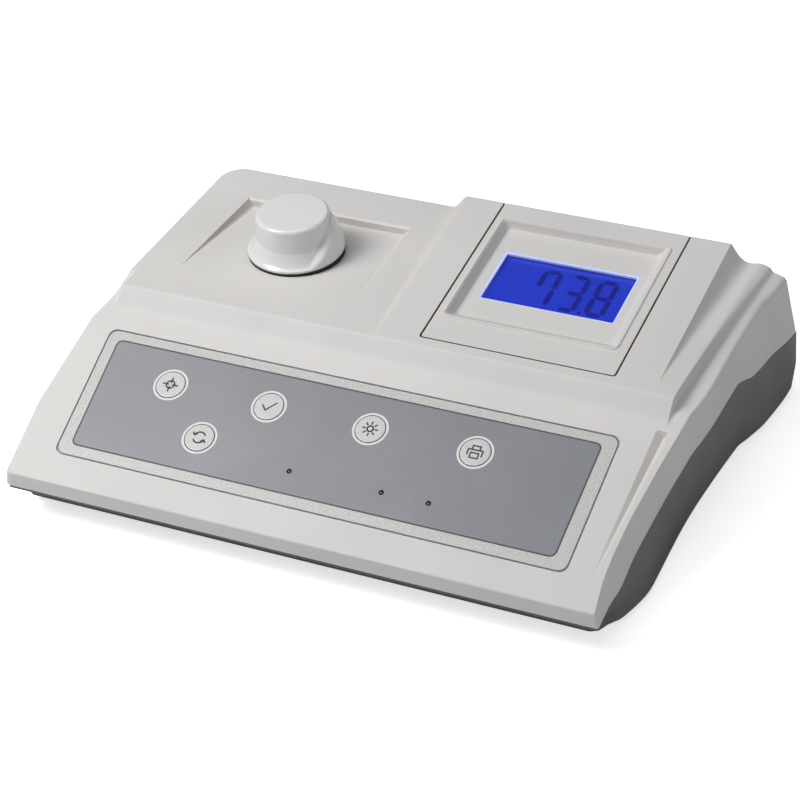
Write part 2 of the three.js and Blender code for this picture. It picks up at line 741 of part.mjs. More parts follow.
function lowerCase() {
  const top = (y) => partingZ(y) - gap;
  const stations = upperStations.filter((y) => y > baseSetback && y < caseDepth - rearCorner);
  const ends = [caseDepth - rearCorner, caseDepth - rearBevelRun,
    caseDepth - rearCorner * lastCornerShare, caseDepth];
  const tub = solid(loft([baseSetback, ...stations, ...ends].map(
    (y) => tubSection(y, 0, top(y), tubBottom(y))), middleOf));
  const insideStations = stations.filter((y) => y > baseSetback + wall);
  const insideEnds = [caseDepth - rearCorner, caseDepth - rearBevelRun - wall / 2, rearInside];
  const hollow = solid(loft([baseSetback + wall, ...insideStations, ...insideEnds].map(
    (y) => tubSection(y, wall, top(y) + cutOverrun, tubBottom(y + wall / 2) + wall)), middleOf));
  const ledge = solid(loft([lipLedge, baseSetback + wall].map(ledgeSection), middleOf));

  const bosses = caseScrews.map(([x, y]) =>
    solid(rod(x, y, -caseDrop + wall / 2, caseSplit, caseBossRadius)));
  const shanks = caseScrews.map(([x, y]) =>
    solid(rod(x, y, -caseDrop - cutOverrun, caseSplit + cutOverrun, caseScrewShank + gap)));
  const counterbores = caseScrews.map(([x, y]) =>
    solid(rod(x, y, -caseDrop - cutOverrun, caseScrewSeat, caseScrewHead + gap)));
  const standoffs = [...mainHoles, ...powerHoles].map(([x, y]) =>
    solid(rod(x, y, floorTop - wall / 2, floorTop + standoffHeight, postRadius)));
  const pilots = [...mainHoles, ...powerHoles].map(([x, y]) =>
    solid(rod(x, y, floorTop + gap, floorTop + standoffHeight + gap, screwShank + gap / 2)));
  const blockPads = blockCorners().map(([x, y]) =>
    solid(rod(x, y, floorTop - wall / 2, blockFoot - gap, postRadius)));
  const panelRibs = [rearPanelLeft, rearPanelRight].map((x) => solid(box(x - wall, x + wall,
    rearPanelFront - gap - wall, rearPanelFront - gap, floorTop - wall / 2, rearPanelHigh / 2)));

  return cut(
    joined(cut(tub, hollow), ledge, ...bosses, ...standoffs, ...blockPads, ...panelRibs),
    ...shanks, ...counterbores, ...pilots, rearCutout());
}

function blockCorners() {
  const [dx, dy] = [blockHalfWidth - boardHoleInset, blockHalfDepth - boardHoleInset];
  return [-dx, dx].flatMap((x) => [-dy, dy].map((y) => [wellX + x, wellY + y]));
}

// A pan-head screw: its head's underside at the given height, its shank running on in one direction
function screw(x, y, seat, direction, shank, length, head, headHeight) {
  const headBack = seat - direction * headHeight;
  const tip = seat + direction * length;
  const [low, high] = [Math.min(seat, headBack), Math.max(seat, headBack)];
  return joined(
    solid(rod(x, y, low, high, head)),
    solid(rod(x, y, Math.min(headBack, tip), Math.max(headBack, tip), shank)));
}

function addScrews(group, name, holes, seat, direction) {
  holes.forEach(([x, y], i) => {
    const piece = screw(x, y, seat, direction, screwShank, screwLength, screwHead, screwHeadHeight);
    group.add(mesh(`${name}_${i + 1}`, piece, steel));
  });
}

function drilledBoard(x0, x1, y0, y1, z0, holes) {
  const drills = holes.map(([x, y]) =>
    solid(rod(x, y, z0 - gap, z0 + boardThickness + gap, screwShank + gap)));
  return cut(solid(box(x0, x1, y0, y1, z0, z0 + boardThickness)), ...drills);
}

// Keypad group, in the plane of the front slope
function keypad() {
  const group = new THREE.Group();
  group.rotation.x = panelSlope;

  const keyCuts = Object.values(keyPlaces).map(([x, s]) =>
    solid(rod(x, s, -overlayThickness - gap, gap, keyRadius + keyClearance, roundSides)));
  const lampCuts = lampPlaces.map((x) =>
    solid(rod(x, lampRow, -overlayThickness - gap, gap, lampRadius + gap)));
  const sheet = solid(plate(keypadOutline(0), -overlayThickness, 0));
  group.add(mesh('keypad_overlay', cut(sheet, ...keyCuts, ...lampCuts), overlayGrey));

  for (const [name, [x, s]] of Object.entries(keyPlaces)) {
    const flangeLow = -panelSkin - gap - keyFlangeHeight;
    const profile = [[0, plungerTip], [keyPlunger, plungerTip], [keyPlunger, flangeLow],
      [keyRadius + keyFlange, flangeLow], [keyRadius + keyFlange, flangeLow + keyFlangeHeight],
      [keyRadius, flangeLow + keyFlangeHeight], [keyRadius, keyProud / 2], [keyRadius - keyProud, keyProud],
      [0, keyProud]];
    const key = mesh(name, turned(profile), keyPale);
    key.position.set(x, s, 0);
    group.add(key);
  }

  // The five push switches are soldered to the board
  const switches = Object.values(keyPlaces).map(([x, s]) => joined(
    solid(box(x - switchSide / 2, x + switchSide / 2, s - switchSide / 2, s + switchSide / 2,
      keyBoardTop - boardThickness / 2, keyBoardTop + switchHeight)),
    solid(rod(x, s, keyBoardTop, switchTop, actuatorRadius))));
  const board = drilledBoard(keyBoardLeft, keyBoardRight, keyBoardLow, keyBoardHigh,
    keyBoardTop - boardThickness, keyBoardHoles);
  group.add(mesh('key_board', joined(board, ...switches), boardGreen));
  lampPlaces.forEach((x, i) => {
    const lamp = joined(
      solid(rod(x, lampRow, keyBoardTop + gap, -gap, lampRadius)),
      solid(rod(x, lampRow, keyBoardTop + gap, keyBoardTop + lampRadius, lampRadius + gap)));
    group.add(mesh(`indicator_lamp_${i + 1}`, lamp, lampRed));
  });
  addScrews(group, 'key_board_screw', keyBoardHoles, keyBoardTop - boardThickness - gap, 1);
  return group;
}

// Display group, in the plane of the boss
function display() {
  const group = new THREE.Group();
  group.position.set(0, hoodY, deckHeight);
  group.rotation.x = bossSlope;

  const face = solid(box(bezelLeft, bezelRight, bezelFront, bossReach - gap, -bezelThickness, 0));
  const rim = solid(box(rimLeft, rimRight, rimFront, rimRear, -rimHeight, rimHeight));
  const tray = solid(box(trayLeft - trayWall, trayRight + trayWall, trayFront - trayWall,
    trayRear + trayWall, -trayDepth - trayFloor, -rimHeight));
  const mouth = [rimLeft + rimWidth, rimRight - rimWidth, rimFront + rimWidth, rimRear - rimWidth];
  const pit = solid(funnel(mouth, [trayLeft, trayRight, trayFront, trayRear], -trayDepth, rimHeight + gap));
  const opening = solid(box(windowLeft, windowRight, windowFront, windowRear, -trayDepth - cutOverrun, 0));
  const posts = displayPosts.map(([x, t]) =>
    solid(rod(x, t, displayBoardTop + gap, -trayDepth - trayFloor / 2, displayPost)));
  const pilots = displayPosts.map(([x, t]) =>
    solid(rod(x, t, displayBoardTop, -trayDepth - trayFloor, screwShank + gap / 2)));
  const bezel = cut(joined(face, rim, tray, ...posts), pit, opening, ...pilots);
  group.add(mesh('display_bezel', bezel, shellWhite));

  const stack = [
    ['display_window', windowThickness, clearPlastic],
    ['lcd_cell', lcdThickness, lcdBlue],
    ['lcd_backlight', backlightThickness, backlightWhite],
  ];
  let top = -trayDepth - trayFloor - gap;
  for (const [name, thickness, material] of stack) {
    group.add(mesh(name, box(windowLeft - glassLap, windowRight + glassLap, windowFront - glassLap,
      windowRear + glassLap, top - thickness, top), material));
    top -= thickness + gap;
  }

  const boardReach = displayPostReach + displayPost + displayBoardLap;
  const [left, right] = [windowLeft - boardReach, windowRight + boardReach];
  const [low, high] = [windowFront - glassLap * 2, windowRear + glassLap * 2];
  group.add(mesh('display_board', drilledBoard(left, right, low, high, displayBoardTop - boardThickness,
    displayPosts), boardGreen));
  addScrews(group, 'display_screw', displayPosts, displayBoardTop - boardThickness - gap, 1);
  return group;
}

// Cap, collar, well and the optical bench, on the well's axis
function sampleCell() {
  const group = new THREE.Group();
  group.position.set(wellX, wellY, 0);

  const skirtFoot = collarTop + gap;
  const neckFoot = skirtFoot + capFlareHeight;
  const top = skirtFoot + capHeight;
  const flareMiddle = mix(capTopRadius, capSkirtRadius, capFlareOutShare);
  const edgeIn = capEdgeRound * capEdgeShare;
  const outside = solid(turned([[0, skirtFoot], [capSkirtRadius, skirtFoot],
    [capSkirtRadius, skirtFoot + capRimHeight], [flareMiddle, mix(skirtFoot, neckFoot, capFlareUpShare)],
    [capTopRadius, neckFoot], [capTopRadius, top - capEdgeRound],
    [capTopRadius - edgeIn, top - edgeIn], [capTopRadius - capEdgeRound, top],
    [0, top]], capSides));
  const cavity = solid(turned([[0, skirtFoot - gap], [capCavityRadius, skirtFoot - gap],
    [capCavityRadius, top - capRoof], [0, top - capRoof]], capSides));
  group.add(mesh('sample_cap', cut(joined(outside, capFin(skirtFoot, top)), cavity), capWhite));

  const wellOuter = vialBore + wellWall;
  const flangeFoot = flangeTop - collarFlangeHeight;
  const collar = turned([[wellOuter + gap, flangeFoot], [collarRadius + collarFlange, flangeFoot],
    [collarRadius + collarFlange, flangeTop], [collarRadius, flangeTop], [collarRadius, collarTop],
    [wellOuter + gap, collarTop], [wellOuter + gap, flangeFoot]], capSides);
  group.add(mesh('well_collar', collar, blackPlastic));

  const ports = [
    solid(rodX(-wellOuter - wellWall, -vialBore + wellWall, 0, beamHeight, beamRadius)),
    solid(rodX(vialBore - wellWall, wellOuter + wellWall, 0, beamHeight, beamRadius)),
    solid(rodY(0, -wellOuter - wellWall, -vialBore + wellWall, beamHeight, beamRadius)),
  ];
  const well = solid(turned([[0, wellFoot], [wellOuter, wellFoot], [wellOuter, wellTop],
    [vialBore, wellTop], [vialBore, wellFoot + wellFloor], [0, wellFoot + wellFloor]], roundSides));
  group.add(mesh('sample_well', cut(well, ...ports), blackPlastic));

  const block = solid(box(-blockHalfWidth, blockHalfWidth, -blockHalfDepth, blockHalfDepth,
    blockFoot, blockFoot + blockHeight));
  const bore = solid(rod(0, 0, wellFoot - gap, blockFoot + blockHeight + gap, wellOuter + gap, roundSides));
  const lampTunnel = solid(rodX(-blockHalfWidth - gap, 0, 0, beamHeight, beamRadius));
  const lensPocket = solid(rodX(-blockHalfWidth - gap, -blockHalfWidth + lensSeat, 0, beamHeight,
    lampHouseRadius - lampHouseWall));
  const detectorEnds = [
    solid(rodX(0, blockHalfWidth + gap, 0, beamHeight, detectorRadius + gap)),
    solid(rodY(0, -blockHalfDepth - gap, 0, beamHeight, detectorRadius + gap)),
  ];
  group.add(mesh('optics_block', cut(block, bore, lampTunnel, lensPocket, ...detectorEnds), blackAnodised));

  const lensX = -blockHalfWidth + lensSeat;
  const lensRadius = lampHouseRadius - lampHouseWall - gap;
  const lens = turned([[0, 0], [lensRadius, 0], [lensRadius, lensThickness / 3],
    [lensRadius * lensCrownShare, lensThickness * lensCrownRiseShare], [0, lensThickness]], roundSides)
    .rotateY(-Math.PI / 2);
  group.add(mesh('collimating_lens', lens.translate(lensX - gap, 0, beamHeight), lampGlass));

  const houseBack = -blockHalfWidth - gap - lampHouseLength;
  const house = solid(rodX(houseBack, -blockHalfWidth - gap, 0, beamHeight, lampHouseRadius, roundSides));
  const houseBore = solid(rodX(houseBack + lampHouseWall, -blockHalfWidth, 0, beamHeight,
    lampHouseRadius - lampHouseWall, roundSides));
  const socket = solid(rodX(houseBack - gap, houseBack + lampHouseWall + gap, 0, beamHeight,
    bulbRadius + gap));
  const foot = solid(box(houseBack, -blockHalfWidth - gap, -lampHouseRadius / 2, lampHouseRadius / 2,
    floorTop + gap, beamHeight - lampHouseRadius + lampHouseWall / 2));
  group.add(mesh('lamp_house', cut(joined(house, foot), houseBore, socket), aluminium));
  const glassRadius = bulbRadius * bulbGlassShare;
  const glassEnd = houseBack + bulbBaseLength + bulbLength - bulbRadius;
  const bulb = joined(
    solid(rodX(houseBack + gap, houseBack + bulbBaseLength, 0, beamHeight, bulbRadius)),
    solid(rodX(houseBack + gap, glassEnd, 0, beamHeight, glassRadius)),
    solid(new THREE.SphereGeometry(glassRadius, smallSides, smallSides / 2)
      .translate(glassEnd, 0, beamHeight)));
  group.add(mesh('source_lamp', bulb, lampGlass));

  const canFront = wellOuter + gap * 2;
  const canBack = wellOuter + detectorLength;
  const leadRadius = detectorRadius / 2;
  const straightOn = joined(
    solid(rodX(canFront, canFront + detectorLength, 0, beamHeight, detectorRadius)),
    solid(rodX(canBack, blockHalfWidth + detectorLead, 0, beamHeight, leadRadius)));
  group.add(mesh('straight_detector', straightOn, steel));
  const scattered = joined(
    solid(rodY(0, -canFront - detectorLength, -canFront, beamHeight, detectorRadius)),
    solid(rodY(0, -blockHalfDepth - detectorLead, -canBack, beamHeight, leadRadius)));
  group.add(mesh('scatter_detector', scattered, steel));
  return group;
}

// The grip flank on the cap's side: a point at the top edge that widens down to the skirt
function capFin(low, high) {
  const rim = capSkirtRadius - capEdgeRound / 2;
  const arc = (radius, spread, z) => capFinSideShares
    .map((side) => capFinTurn + side * spread)
    .map((angle) => at(radius * Math.cos(angle), radius * Math.sin(angle), z));
  const ring = (radius, spread, z) =>
    [...arc(radius, spread, z), ...arc(capCavityRadius / 2, spread, z).reverse()];
  const middleSpread = mix(capFinFootSpread, capFinTopSpread, capFinUpShare);
  return solid(loft([
    ring(rim, capFinFootSpread, low + capRimHeight / 2),
    ring(mix(rim, capTopRadius, capFinInShare), middleSpread, mix(low, high, capFinUpShare)),
    ring(capTopRadius - capEdgeRound / 3, capFinTopSpread, high - capEdgeRound),
  ], middleOf));
}

// Boards, transformer and small parts on the floor of the lower shell
function floorParts() {
  const group = new THREE.Group();
  const boardTop = mainBoardFoot + boardThickness;
  const [right, rear] = [mainBoardLeft + mainBoardWidth, mainBoardFront + mainBoardDepth];
  const chips = chipPlaceShares.map(([across, back]) => {
    const x = mix(mainBoardLeft, right, across);
    const y = mix(mainBoardFront, rear, back);
    return solid(box(x - chipWidth / 2, x + chipWidth / 2, y - chipDepth / 2, y + chipDepth / 2,
      mainBoardFoot + boardThickness / 2, boardTop + chipHeight));
  });
  const headers = headerPlaceShares.map((share) => {
    const x = mix(mainBoardLeft, right, share);
    return solid(box(x - headerWidth / 2, x + headerWidth / 2, rear - headerDepth * 2, rear - headerDepth,
      mainBoardFoot + boardThickness / 2, boardTop + headerHeight));
  });
  const mainBoard = drilledBoard(mainBoardLeft, right, mainBoardFront, rear, mainBoardFoot, mainHoles);
  group.add(mesh('main_board', joined(mainBoard, ...chips, ...headers), boardGreen));
  addScrews(group, 'main_board_screw', mainHoles, boardTop + gap, -1);

  const capacitors = capacitorPlaceShares.map((share) => solid(rod(
    powerBoardLeft + powerBoardWidth * share, powerBoardFront + powerBoardDepth / 2,
    mainBoardFoot + boardThickness / 2, boardTop + capacitorHeight, capacitorRadius)));
  const powerBoard = drilledBoard(powerBoardLeft, powerBoardLeft + powerBoardWidth, powerBoardFront,
    powerBoardFront + powerBoardDepth, mainBoardFoot, powerHoles);
  group.add(mesh('power_board', joined(powerBoard, ...capacitors), boardGreen));
  addScrews(group, 'power_board_screw', powerHoles, boardTop + gap, -1);

  const coreFoot = floorTop + gap;
  const core = solid(box(coreLeft, coreLeft + coreWidth, coreFront, coreFront + coreDepth, coreFoot,
    coreFoot + coreHeight));
  const windows = coreWindowShares.map((share) => {
    const x = coreLeft + coreWidth * share;
    return solid(box(x - coreLimb / 2, x + coreLimb / 2, coreFront - gap, coreFront + coreDepth + gap,
      coreFoot + coreLimb / 2, coreFoot + coreHeight - coreLimb / 2));
  });
  group.add(mesh('transformer_core', cut(core, ...windows), steel));
  const middle = coreLeft + coreWidth / 2;
  const limb = coreWidth * (coreWindowShares[1] - coreWindowShares[0]) / 2 - coreLimb / 2;
  const coilReach = limb + coreLimb - gap;
  const coilInset = coreLimb / 2 + gap;
  const coil = solid(box(middle - coilReach, middle + coilReach,
    coreFront - windingBulge, coreFront + coreDepth + windingBulge,
    coreFoot + coilInset, coreFoot + coreHeight - coilInset));
  const limbHole = solid(box(middle - limb - gap, middle + limb + gap, coreFront - gap,
    coreFront + coreDepth + gap, coreFoot, coreFoot + coreHeight));
  group.add(mesh('transformer_winding', cut(coil, limbHole), copperWinding));
  return group;
}

// Rear panel with its inlet, rocker switch and data port
function rearFittings() {
  const group = new THREE.Group();
  const z = connectorHeight;
  const face = rearPanelBack;
  const hole = (x, width, tall) => solid(box(x - width / 2 - gap, x + width / 2 + gap, rearPanelFront - gap,
    rearPanelBack + gap, z - tall / 2 - gap, z + tall / 2 + gap));
  const sheet = solid(box(rearPanelLeft, rearPanelRight, rearPanelFront, rearPanelBack,
    rearPanelLow, rearPanelHigh));
  group.add(mesh('rear_panel', cut(sheet, hole(inletX, inletWidth, inletTall),
    hole(rockerX, rockerFrameWidth - rockerFrameWall * 2, rockerFrameTall - rockerFrameWall * 2),
    hole(serialX, serialShellWidth + serialSlant * 2, serialShellTall)), aluminium));

  const upright = (x, width, tall, y0, y1) =>
    solid(box(x - width / 2, x + width / 2, y0, y1, z - tall / 2, z + tall / 2));
  const inletBack = face + gap + inletFlangeThickness;
  const inlet = joined(
    upright(inletX, inletFlangeWidth, inletFlangeTall, face + gap, inletBack),
    upright(inletX, inletWidth, inletTall, inletBack - inletDepth, inletBack));
  const cavity = upright(inletX, inletCavityWidth, inletCavityTall, inletBack - inletCavityDepth,
    inletBack + gap);
  const pins = [[-1, -1], [0, 1], [1, -1]].map(([side, rise]) => {
    const [x, middle] = [inletX + side * inletPinSpread, z + rise * inletPinRise];
    return solid(box(x - inletPinWidth / 2, x + inletPinWidth / 2, inletBack - inletCavityDepth - gap,
      inletBack - inletCavityDepth + inletPinLength, middle - inletPinTall / 2, middle + inletPinTall / 2));
  });
  group.add(mesh('power_inlet', joined(cut(inlet, cavity), ...pins), blackPlastic));

  const frameBack = face + gap + rockerFlangeThickness;
  const frame = joined(
    upright(rockerX, rockerFrameWidth, rockerFrameTall, face + gap, frameBack),
    upright(rockerX, rockerFrameWidth - rockerFrameWall * 2, rockerFrameTall - rockerFrameWall * 2,
      frameBack - rockerDepth, frameBack));
  const rockerHole = upright(rockerX, rockerWidth + gap * 2, rockerTall + gap * 2,
    frameBack - rockerDepth / 2, frameBack + gap);
  group.add(mesh('rocker_frame', cut(frame, rockerHole), blackPlastic));
  group.add(powerRocker(frameBack, z));

  const plateBack = face + gap + serialPlateThickness;
  const [wide, narrow] = [1, -1].map((side) => (serialShellWidth + side * serialSlant) / 2);
  const flare = [[serialX - wide, serialShellTall / 2], [serialX + wide, serialShellTall / 2],
    [serialX + narrow, -serialShellTall / 2], [serialX - narrow, -serialShellTall / 2]];
  const shell = solid(plate(flare, -plateBack - serialShellLength, -plateBack + serialBodyDepth)
    .rotateX(Math.PI / 2).translate(0, 0, z));
  const sockets = socketPitchShares.map((step) => {
    const row = Number.isInteger(step) ? 1 : -1;
    return solid(rodY(serialX + step * serialPinPitch, plateBack + serialShellLength - serialPinDepth,
      plateBack + serialShellLength + gap, z + row * serialPinPitch / 2, serialPinRadius, smallSides / 2));
  });
  const serial = joined(upright(serialX, serialWidth, serialTall, face + gap, plateBack), shell);
  group.add(mesh('data_port', cut(serial, ...sockets), steel));
  return group;
}

// The rocker leans to its off side at rest; it turns about the axis across its middle
function powerRocker(back, z) {
  const half = rockerTall / 2;
  const lift = half * Math.tan(rockerTilt);
  const outline = [[-half, rockerProud], [0, rockerProud - lift], [half, rockerProud],
    [half - lift, -rockerProud], [0, -rockerProud * 2], [lift - half, -rockerProud]];
  const side = new THREE.Shape(outline.map(([x, y]) => new THREE.Vector2(x, y)));
  const geometry = new THREE.ExtrudeGeometry(side, { depth: rockerWidth, bevelEnabled: false });
  geometry.translate(0, 0, -rockerWidth / 2).rotateY(-Math.PI / 2);
  const rocker = mesh('power_rocker', geometry, rubberBlack);
  rocker.rotation.x = rockerTilt;
  rocker.position.set(rockerX, back, z);
  return rocker;
}

function feetAndCaseScrews() {
  const group = new THREE.Group();
  const sole = -caseDrop - gap;
  const corners = { foot_front: footFront, foot_rear: caseDepth - footRearInset };
  for (const [name, y] of Object.entries(corners)) {
    const sides = { left: leftFootX(y) + footInset, right: footX(y) - footInset };
    for (const [side, x] of Object.entries(sides)) {
      const foot = mesh(`${name}_${side}`, turned([[0, sole - footHeight], [footWaist, sole - footHeight],
        [footRadius, sole], [0, sole]]), rubberBlack);
      foot.position.set(x, y, 0);
      group.add(foot);
    }
  }
  caseScrews.forEach(([x, y], i) => {
    const piece = screw(x, y, caseScrewSeat - gap, 1, caseScrewShank, caseScrewLength, caseScrewHead,
      caseScrewHeadHeight);
    group.add(mesh(`case_screw_${i + 1}`, piece, steel));
  });
  return group;
}

const meter = new THREE.Group();
meter.add(mesh('upper_housing', upperHousing(), shellWhite));
meter.add(mesh('lower_case', lowerCase(), shellGrey));
meter.add(keypad(), display(), sampleCell(), floorParts(), rearFittings(), feetAndCaseScrews());

// The origin is the middle of the footprint, on the surface that the feet stand on
const bounds = new THREE.Box3().setFromObject(meter, true);
const middle = bounds.getCenter(new THREE.Vector3());
meter.position.set(-middle.x, -middle.y, -bounds.min.z);

export default meter;
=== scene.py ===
import bpy
import bmesh
import math
from mathutils import Matrix, Vector


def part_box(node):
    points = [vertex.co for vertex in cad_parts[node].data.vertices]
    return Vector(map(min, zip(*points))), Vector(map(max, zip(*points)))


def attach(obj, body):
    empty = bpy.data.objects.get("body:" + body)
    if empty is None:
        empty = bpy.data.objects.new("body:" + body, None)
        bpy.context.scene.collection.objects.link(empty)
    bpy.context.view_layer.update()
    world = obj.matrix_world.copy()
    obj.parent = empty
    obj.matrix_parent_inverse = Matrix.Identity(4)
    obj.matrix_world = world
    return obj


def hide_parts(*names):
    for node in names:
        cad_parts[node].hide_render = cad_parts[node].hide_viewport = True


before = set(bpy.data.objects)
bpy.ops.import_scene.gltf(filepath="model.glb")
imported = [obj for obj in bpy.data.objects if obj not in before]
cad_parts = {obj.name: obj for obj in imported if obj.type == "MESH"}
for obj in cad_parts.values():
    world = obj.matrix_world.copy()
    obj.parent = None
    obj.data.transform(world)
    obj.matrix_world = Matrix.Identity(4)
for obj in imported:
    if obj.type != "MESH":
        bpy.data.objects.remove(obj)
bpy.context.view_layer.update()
print("frame loaded")

mm = 0.001  # the sizes below are millimetres, Blender's are metres
tiny = 1e-6  # lengths under this count as nothing

case = {
    "lipHalfWidth": 150, "lipHeight": 8, "drop": 24, "wall": 2.5,
    "panelSlope": math.radians(20.4), "panelRun": 95.2, "hoodRun": 8.6, "deckHeight": 43.9,
    "shoulderDrop": 6.1, "sideDraft": 0.18, "shoulderFlare": 19, "footFlare": 25,
    "leftHalfWidth": 150.3, "leftFootHalfWidth": 158.64, "leftFootTaper": 14, "leftFootTaperRun": 40,
    "leftRearTaper": 9, "leftHoodTaper": 4.5, "frontCorner": 3,
    "panelEdgeRound": 3, "frontTaper": 6, "frontTaperRun": 40, "rearCorner": 12,
    "bandLeftEnd": 139, "bandFoot": 0.6, "bandSlant": 0.15, "hoodFoot": (3.4, 7), "hoodTop": (0.9, 4),
    "partingRise": 29.5, "baseSetback": 12.6, "lipLedge": 1.5, "footLip": 2.4, "footLipHeight": 2.2,
    "rearBevelRun": 6.6, "rearBevelRise": 10, "baseRound": 0.9, "lipRound": 0.8, "rearRound": 0.8,
    "seam": 0.3, "overrun": 6, "step": 2.4, "postRadius": 5.2, "standoffRadius": 3.4, "standoffHeight": 4,
    "screwSink": 2.5, "screwSinkRadius": 3.3, "shankHole": 1.8, "toolOver": 3,
}
wall, seam, deck = [case[name] for name in ("wall", "seam", "deckHeight")]
boss = {
    "slope": math.radians(3.98), "left": 0.2, "right": 140.5, "flankRun": 6.4, "fluteStart": 112,
    "fluteDepth": 2.4, "scoopWall": 4.6, "scoopRun": 9, "scoopBend": 0.76, "scoopSpread": 0.85,
    "ribFront": 10, "ribRear": 15.5, "ribDrop": 1.9, "notchFront": 11.2, "notchRear": 21.7, "notchLift": 1.9,
    "grooveDepth": 3.3, "grooveStart": 16, "grooveEnd": 91, "grooveClose": 0.9, "grooveTip": 1.2,
    "grooveWidth": 6.2, "grooveLow": 0.6, "grooveFront": 142.5, "grooveRear": 147.1,
    "slideStart": 91.7, "slideEnd": 93.4,
}
# Side lines of the case: how far back along the depth, how much of the full size
shoulderShares = [(0, 0), (0.09, -0.09), (0.19, -0.02), (0.28, 0.13), (0.36, 0.28), (0.44, 0.46),
                  (0.55, 0.64), (0.72, 0.69), (0.88, 0.78), (0.95, 0.94), (1, 1)]
partingShares = [(0, 0), (0.11, 0), (0.19, 0.21), (0.27, 0.44), (0.375, 0.73), (0.46, 0.94), (0.56, 0.985),
                 (0.69, 0.96), (0.73, 0.85), (0.77, 0.71), (0.83, 0.62), (0.9, 0.555), (1, 0.49)]
footShares = [(0.057, -0.35), (0.069, -0.15), (0.09, -0.06), (0.12, 0.13), (0.235, 0.36), (0.39, 0.35),
              (0.725, 0.57), (0.76, 0.68), (0.83, 0.86), (0.97, 1), (1, 1)]
footLipShares = [(0.06, 0), (0.09, 1), (0.36, 1), (0.58, 0), (1, 0)]

housingLow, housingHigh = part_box("upper_housing")
overlayLow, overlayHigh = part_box("keypad_overlay")
overlayCentre = -0.9
caseDepth = (housingHigh.y - housingLow.y) / mm
hoodY = case["panelRun"] + case["hoodRun"]
shoulderHeight = deck - case["shoulderDrop"]
bossReach = (caseDepth - hoodY) / math.cos(boss["slope"])
zero = Vector(((overlayLow.x + overlayHigh.x) / 2 / mm - overlayCentre, housingLow.y / mm,
               housingHigh.z / mm - deck - bossReach * math.sin(boss["slope"])))


def at(x, y, z):
    return (Vector((x, y, z)) + zero) * mm


def onPanel(x, s, h):  # s runs up the front slope, h stands off it
    c, n = math.cos(case["panelSlope"]), math.sin(case["panelSlope"])
    return at(x, s * c - h * n, s * n + h * c)


def onBoss(x, s, h):
    c, n = math.cos(boss["slope"]), math.sin(boss["slope"])
    return at(x, hoodY + s * c - h * n, deck + s * n + h * c)


def centreOf(node):  # the middle of a CAD node, in the sizes' own millimetres
    low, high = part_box(node)
    return (low.x + high.x) / 2 / mm - zero.x, (low.y + high.y) / 2 / mm - zero.y


def mix(a, b, share):
    return a + (b - a) * share


def ramp(value, start, end):
    return min(1, max(0, (value - start) / (end - start)))


def ease(share):
    return share * share * (3 - 2 * share)


def follow(shares, place):  # a smooth line through the pairs that never runs past them
    if place <= shares[0][0]:
        return shares[0][1]
    if place >= shares[-1][0]:
        return shares[-1][1]
    steps = [(b[1] - a[1]) / (b[0] - a[0]) for a, b in zip(shares, shares[1:])]
    slopes = [steps[0]]
    for before, after in zip(steps, steps[1:]):
        slopes.append(0 if before * after <= 0 else 2 * before * after / (before + after))
    slopes.append(steps[-1])
    i = next(k for k in range(len(steps)) if place <= shares[k + 1][0])
    (x0, y0), (x1, y1) = shares[i], shares[i + 1]
    run = x1 - x0
    t = (place - x0) / run
    return (y0 * (1 + 2 * t) * (1 - t) ** 2 + slopes[i] * run * t * (1 - t) ** 2
            + y1 * t * t * (3 - 2 * t) + slopes[i + 1] * run * t * t * (t - 1))


def softCorners(corners):  # each corner is x, z, how far the rounding reaches and its steps
    line = []
    sideLimit = 0.48  # of a side, so that two roundings never meet
    for i, (x, z, reach, steps) in enumerate(corners):
        corner = Vector((x, z))
        if not steps:
            line.append(corner)
            continue
        sides = [Vector(corners[k % len(corners)][:2]) - corner for k in (i - 1, i + 1)]
        near, far = [side * (min(reach, side.length * sideLimit) / max(side.length, tiny)) for side in sides]
        line += [corner + near * (1 - k / steps) ** 2 + far * (k / steps) * (k / steps) for k in range(steps + 1)]
    return line


def section(y, corners):  # an outline across the case
    return [at(p.x, y, p.y) for p in softCorners(corners)]


def loft(rings, looped=False):
    made = bmesh.new()
    count = len(rings[0])
    rows = [[made.verts.new(p) for p in ring] for ring in rings]
    for low, high in zip(rows, rows[1:] + rows[:1] if looped else rows[1:]):
        for i in range(count):
            j = (i + 1) % count
            made.faces.new((low[i], low[j], high[j], high[i]))
    if not looped:
        made.faces.new(rows[0][::-1])
        made.faces.new(rows[-1])
    bmesh.ops.remove_doubles(made, verts=made.verts, dist=tiny)
    bmesh.ops.dissolve_degenerate(made, edges=made.edges, dist=tiny)
    bmesh.ops.recalc_face_normals(made, faces=made.faces)
    return made


def joinedMesh(parts):  # separate closed shells in one mesh
    whole = bmesh.new()
    for part in parts:
        spare = bpy.data.meshes.new("spare")
        part.to_mesh(spare)
        whole.from_mesh(spare)
        bpy.data.meshes.remove(spare)
        part.free()
    return whole


def asObject(name, made):
    mesh = bpy.data.meshes.new(name)
    made.to_mesh(mesh)
    made.free()
    thing = bpy.data.objects.new(name, mesh)
    bpy.context.scene.collection.objects.link(thing)
    return thing


def applied(thing):  # the result of its modifiers as a plain mesh
    evaluated = thing.evaluated_get(bpy.context.evaluated_depsgraph_get())
    mesh = bpy.data.meshes.new_from_object(evaluated)
    thing.modifiers.clear()
    thing.data = mesh
    return thing


def combine(thing, operation, tools):
    for tool in tools:
        other = asObject("tool", tool)
        cutter = thing.modifiers.new("boolean", "BOOLEAN")
        cutter.operation = operation
        cutter.solver = "MANIFOLD"
        cutter.object = other
        applied(thing)
        bpy.data.objects.remove(other)


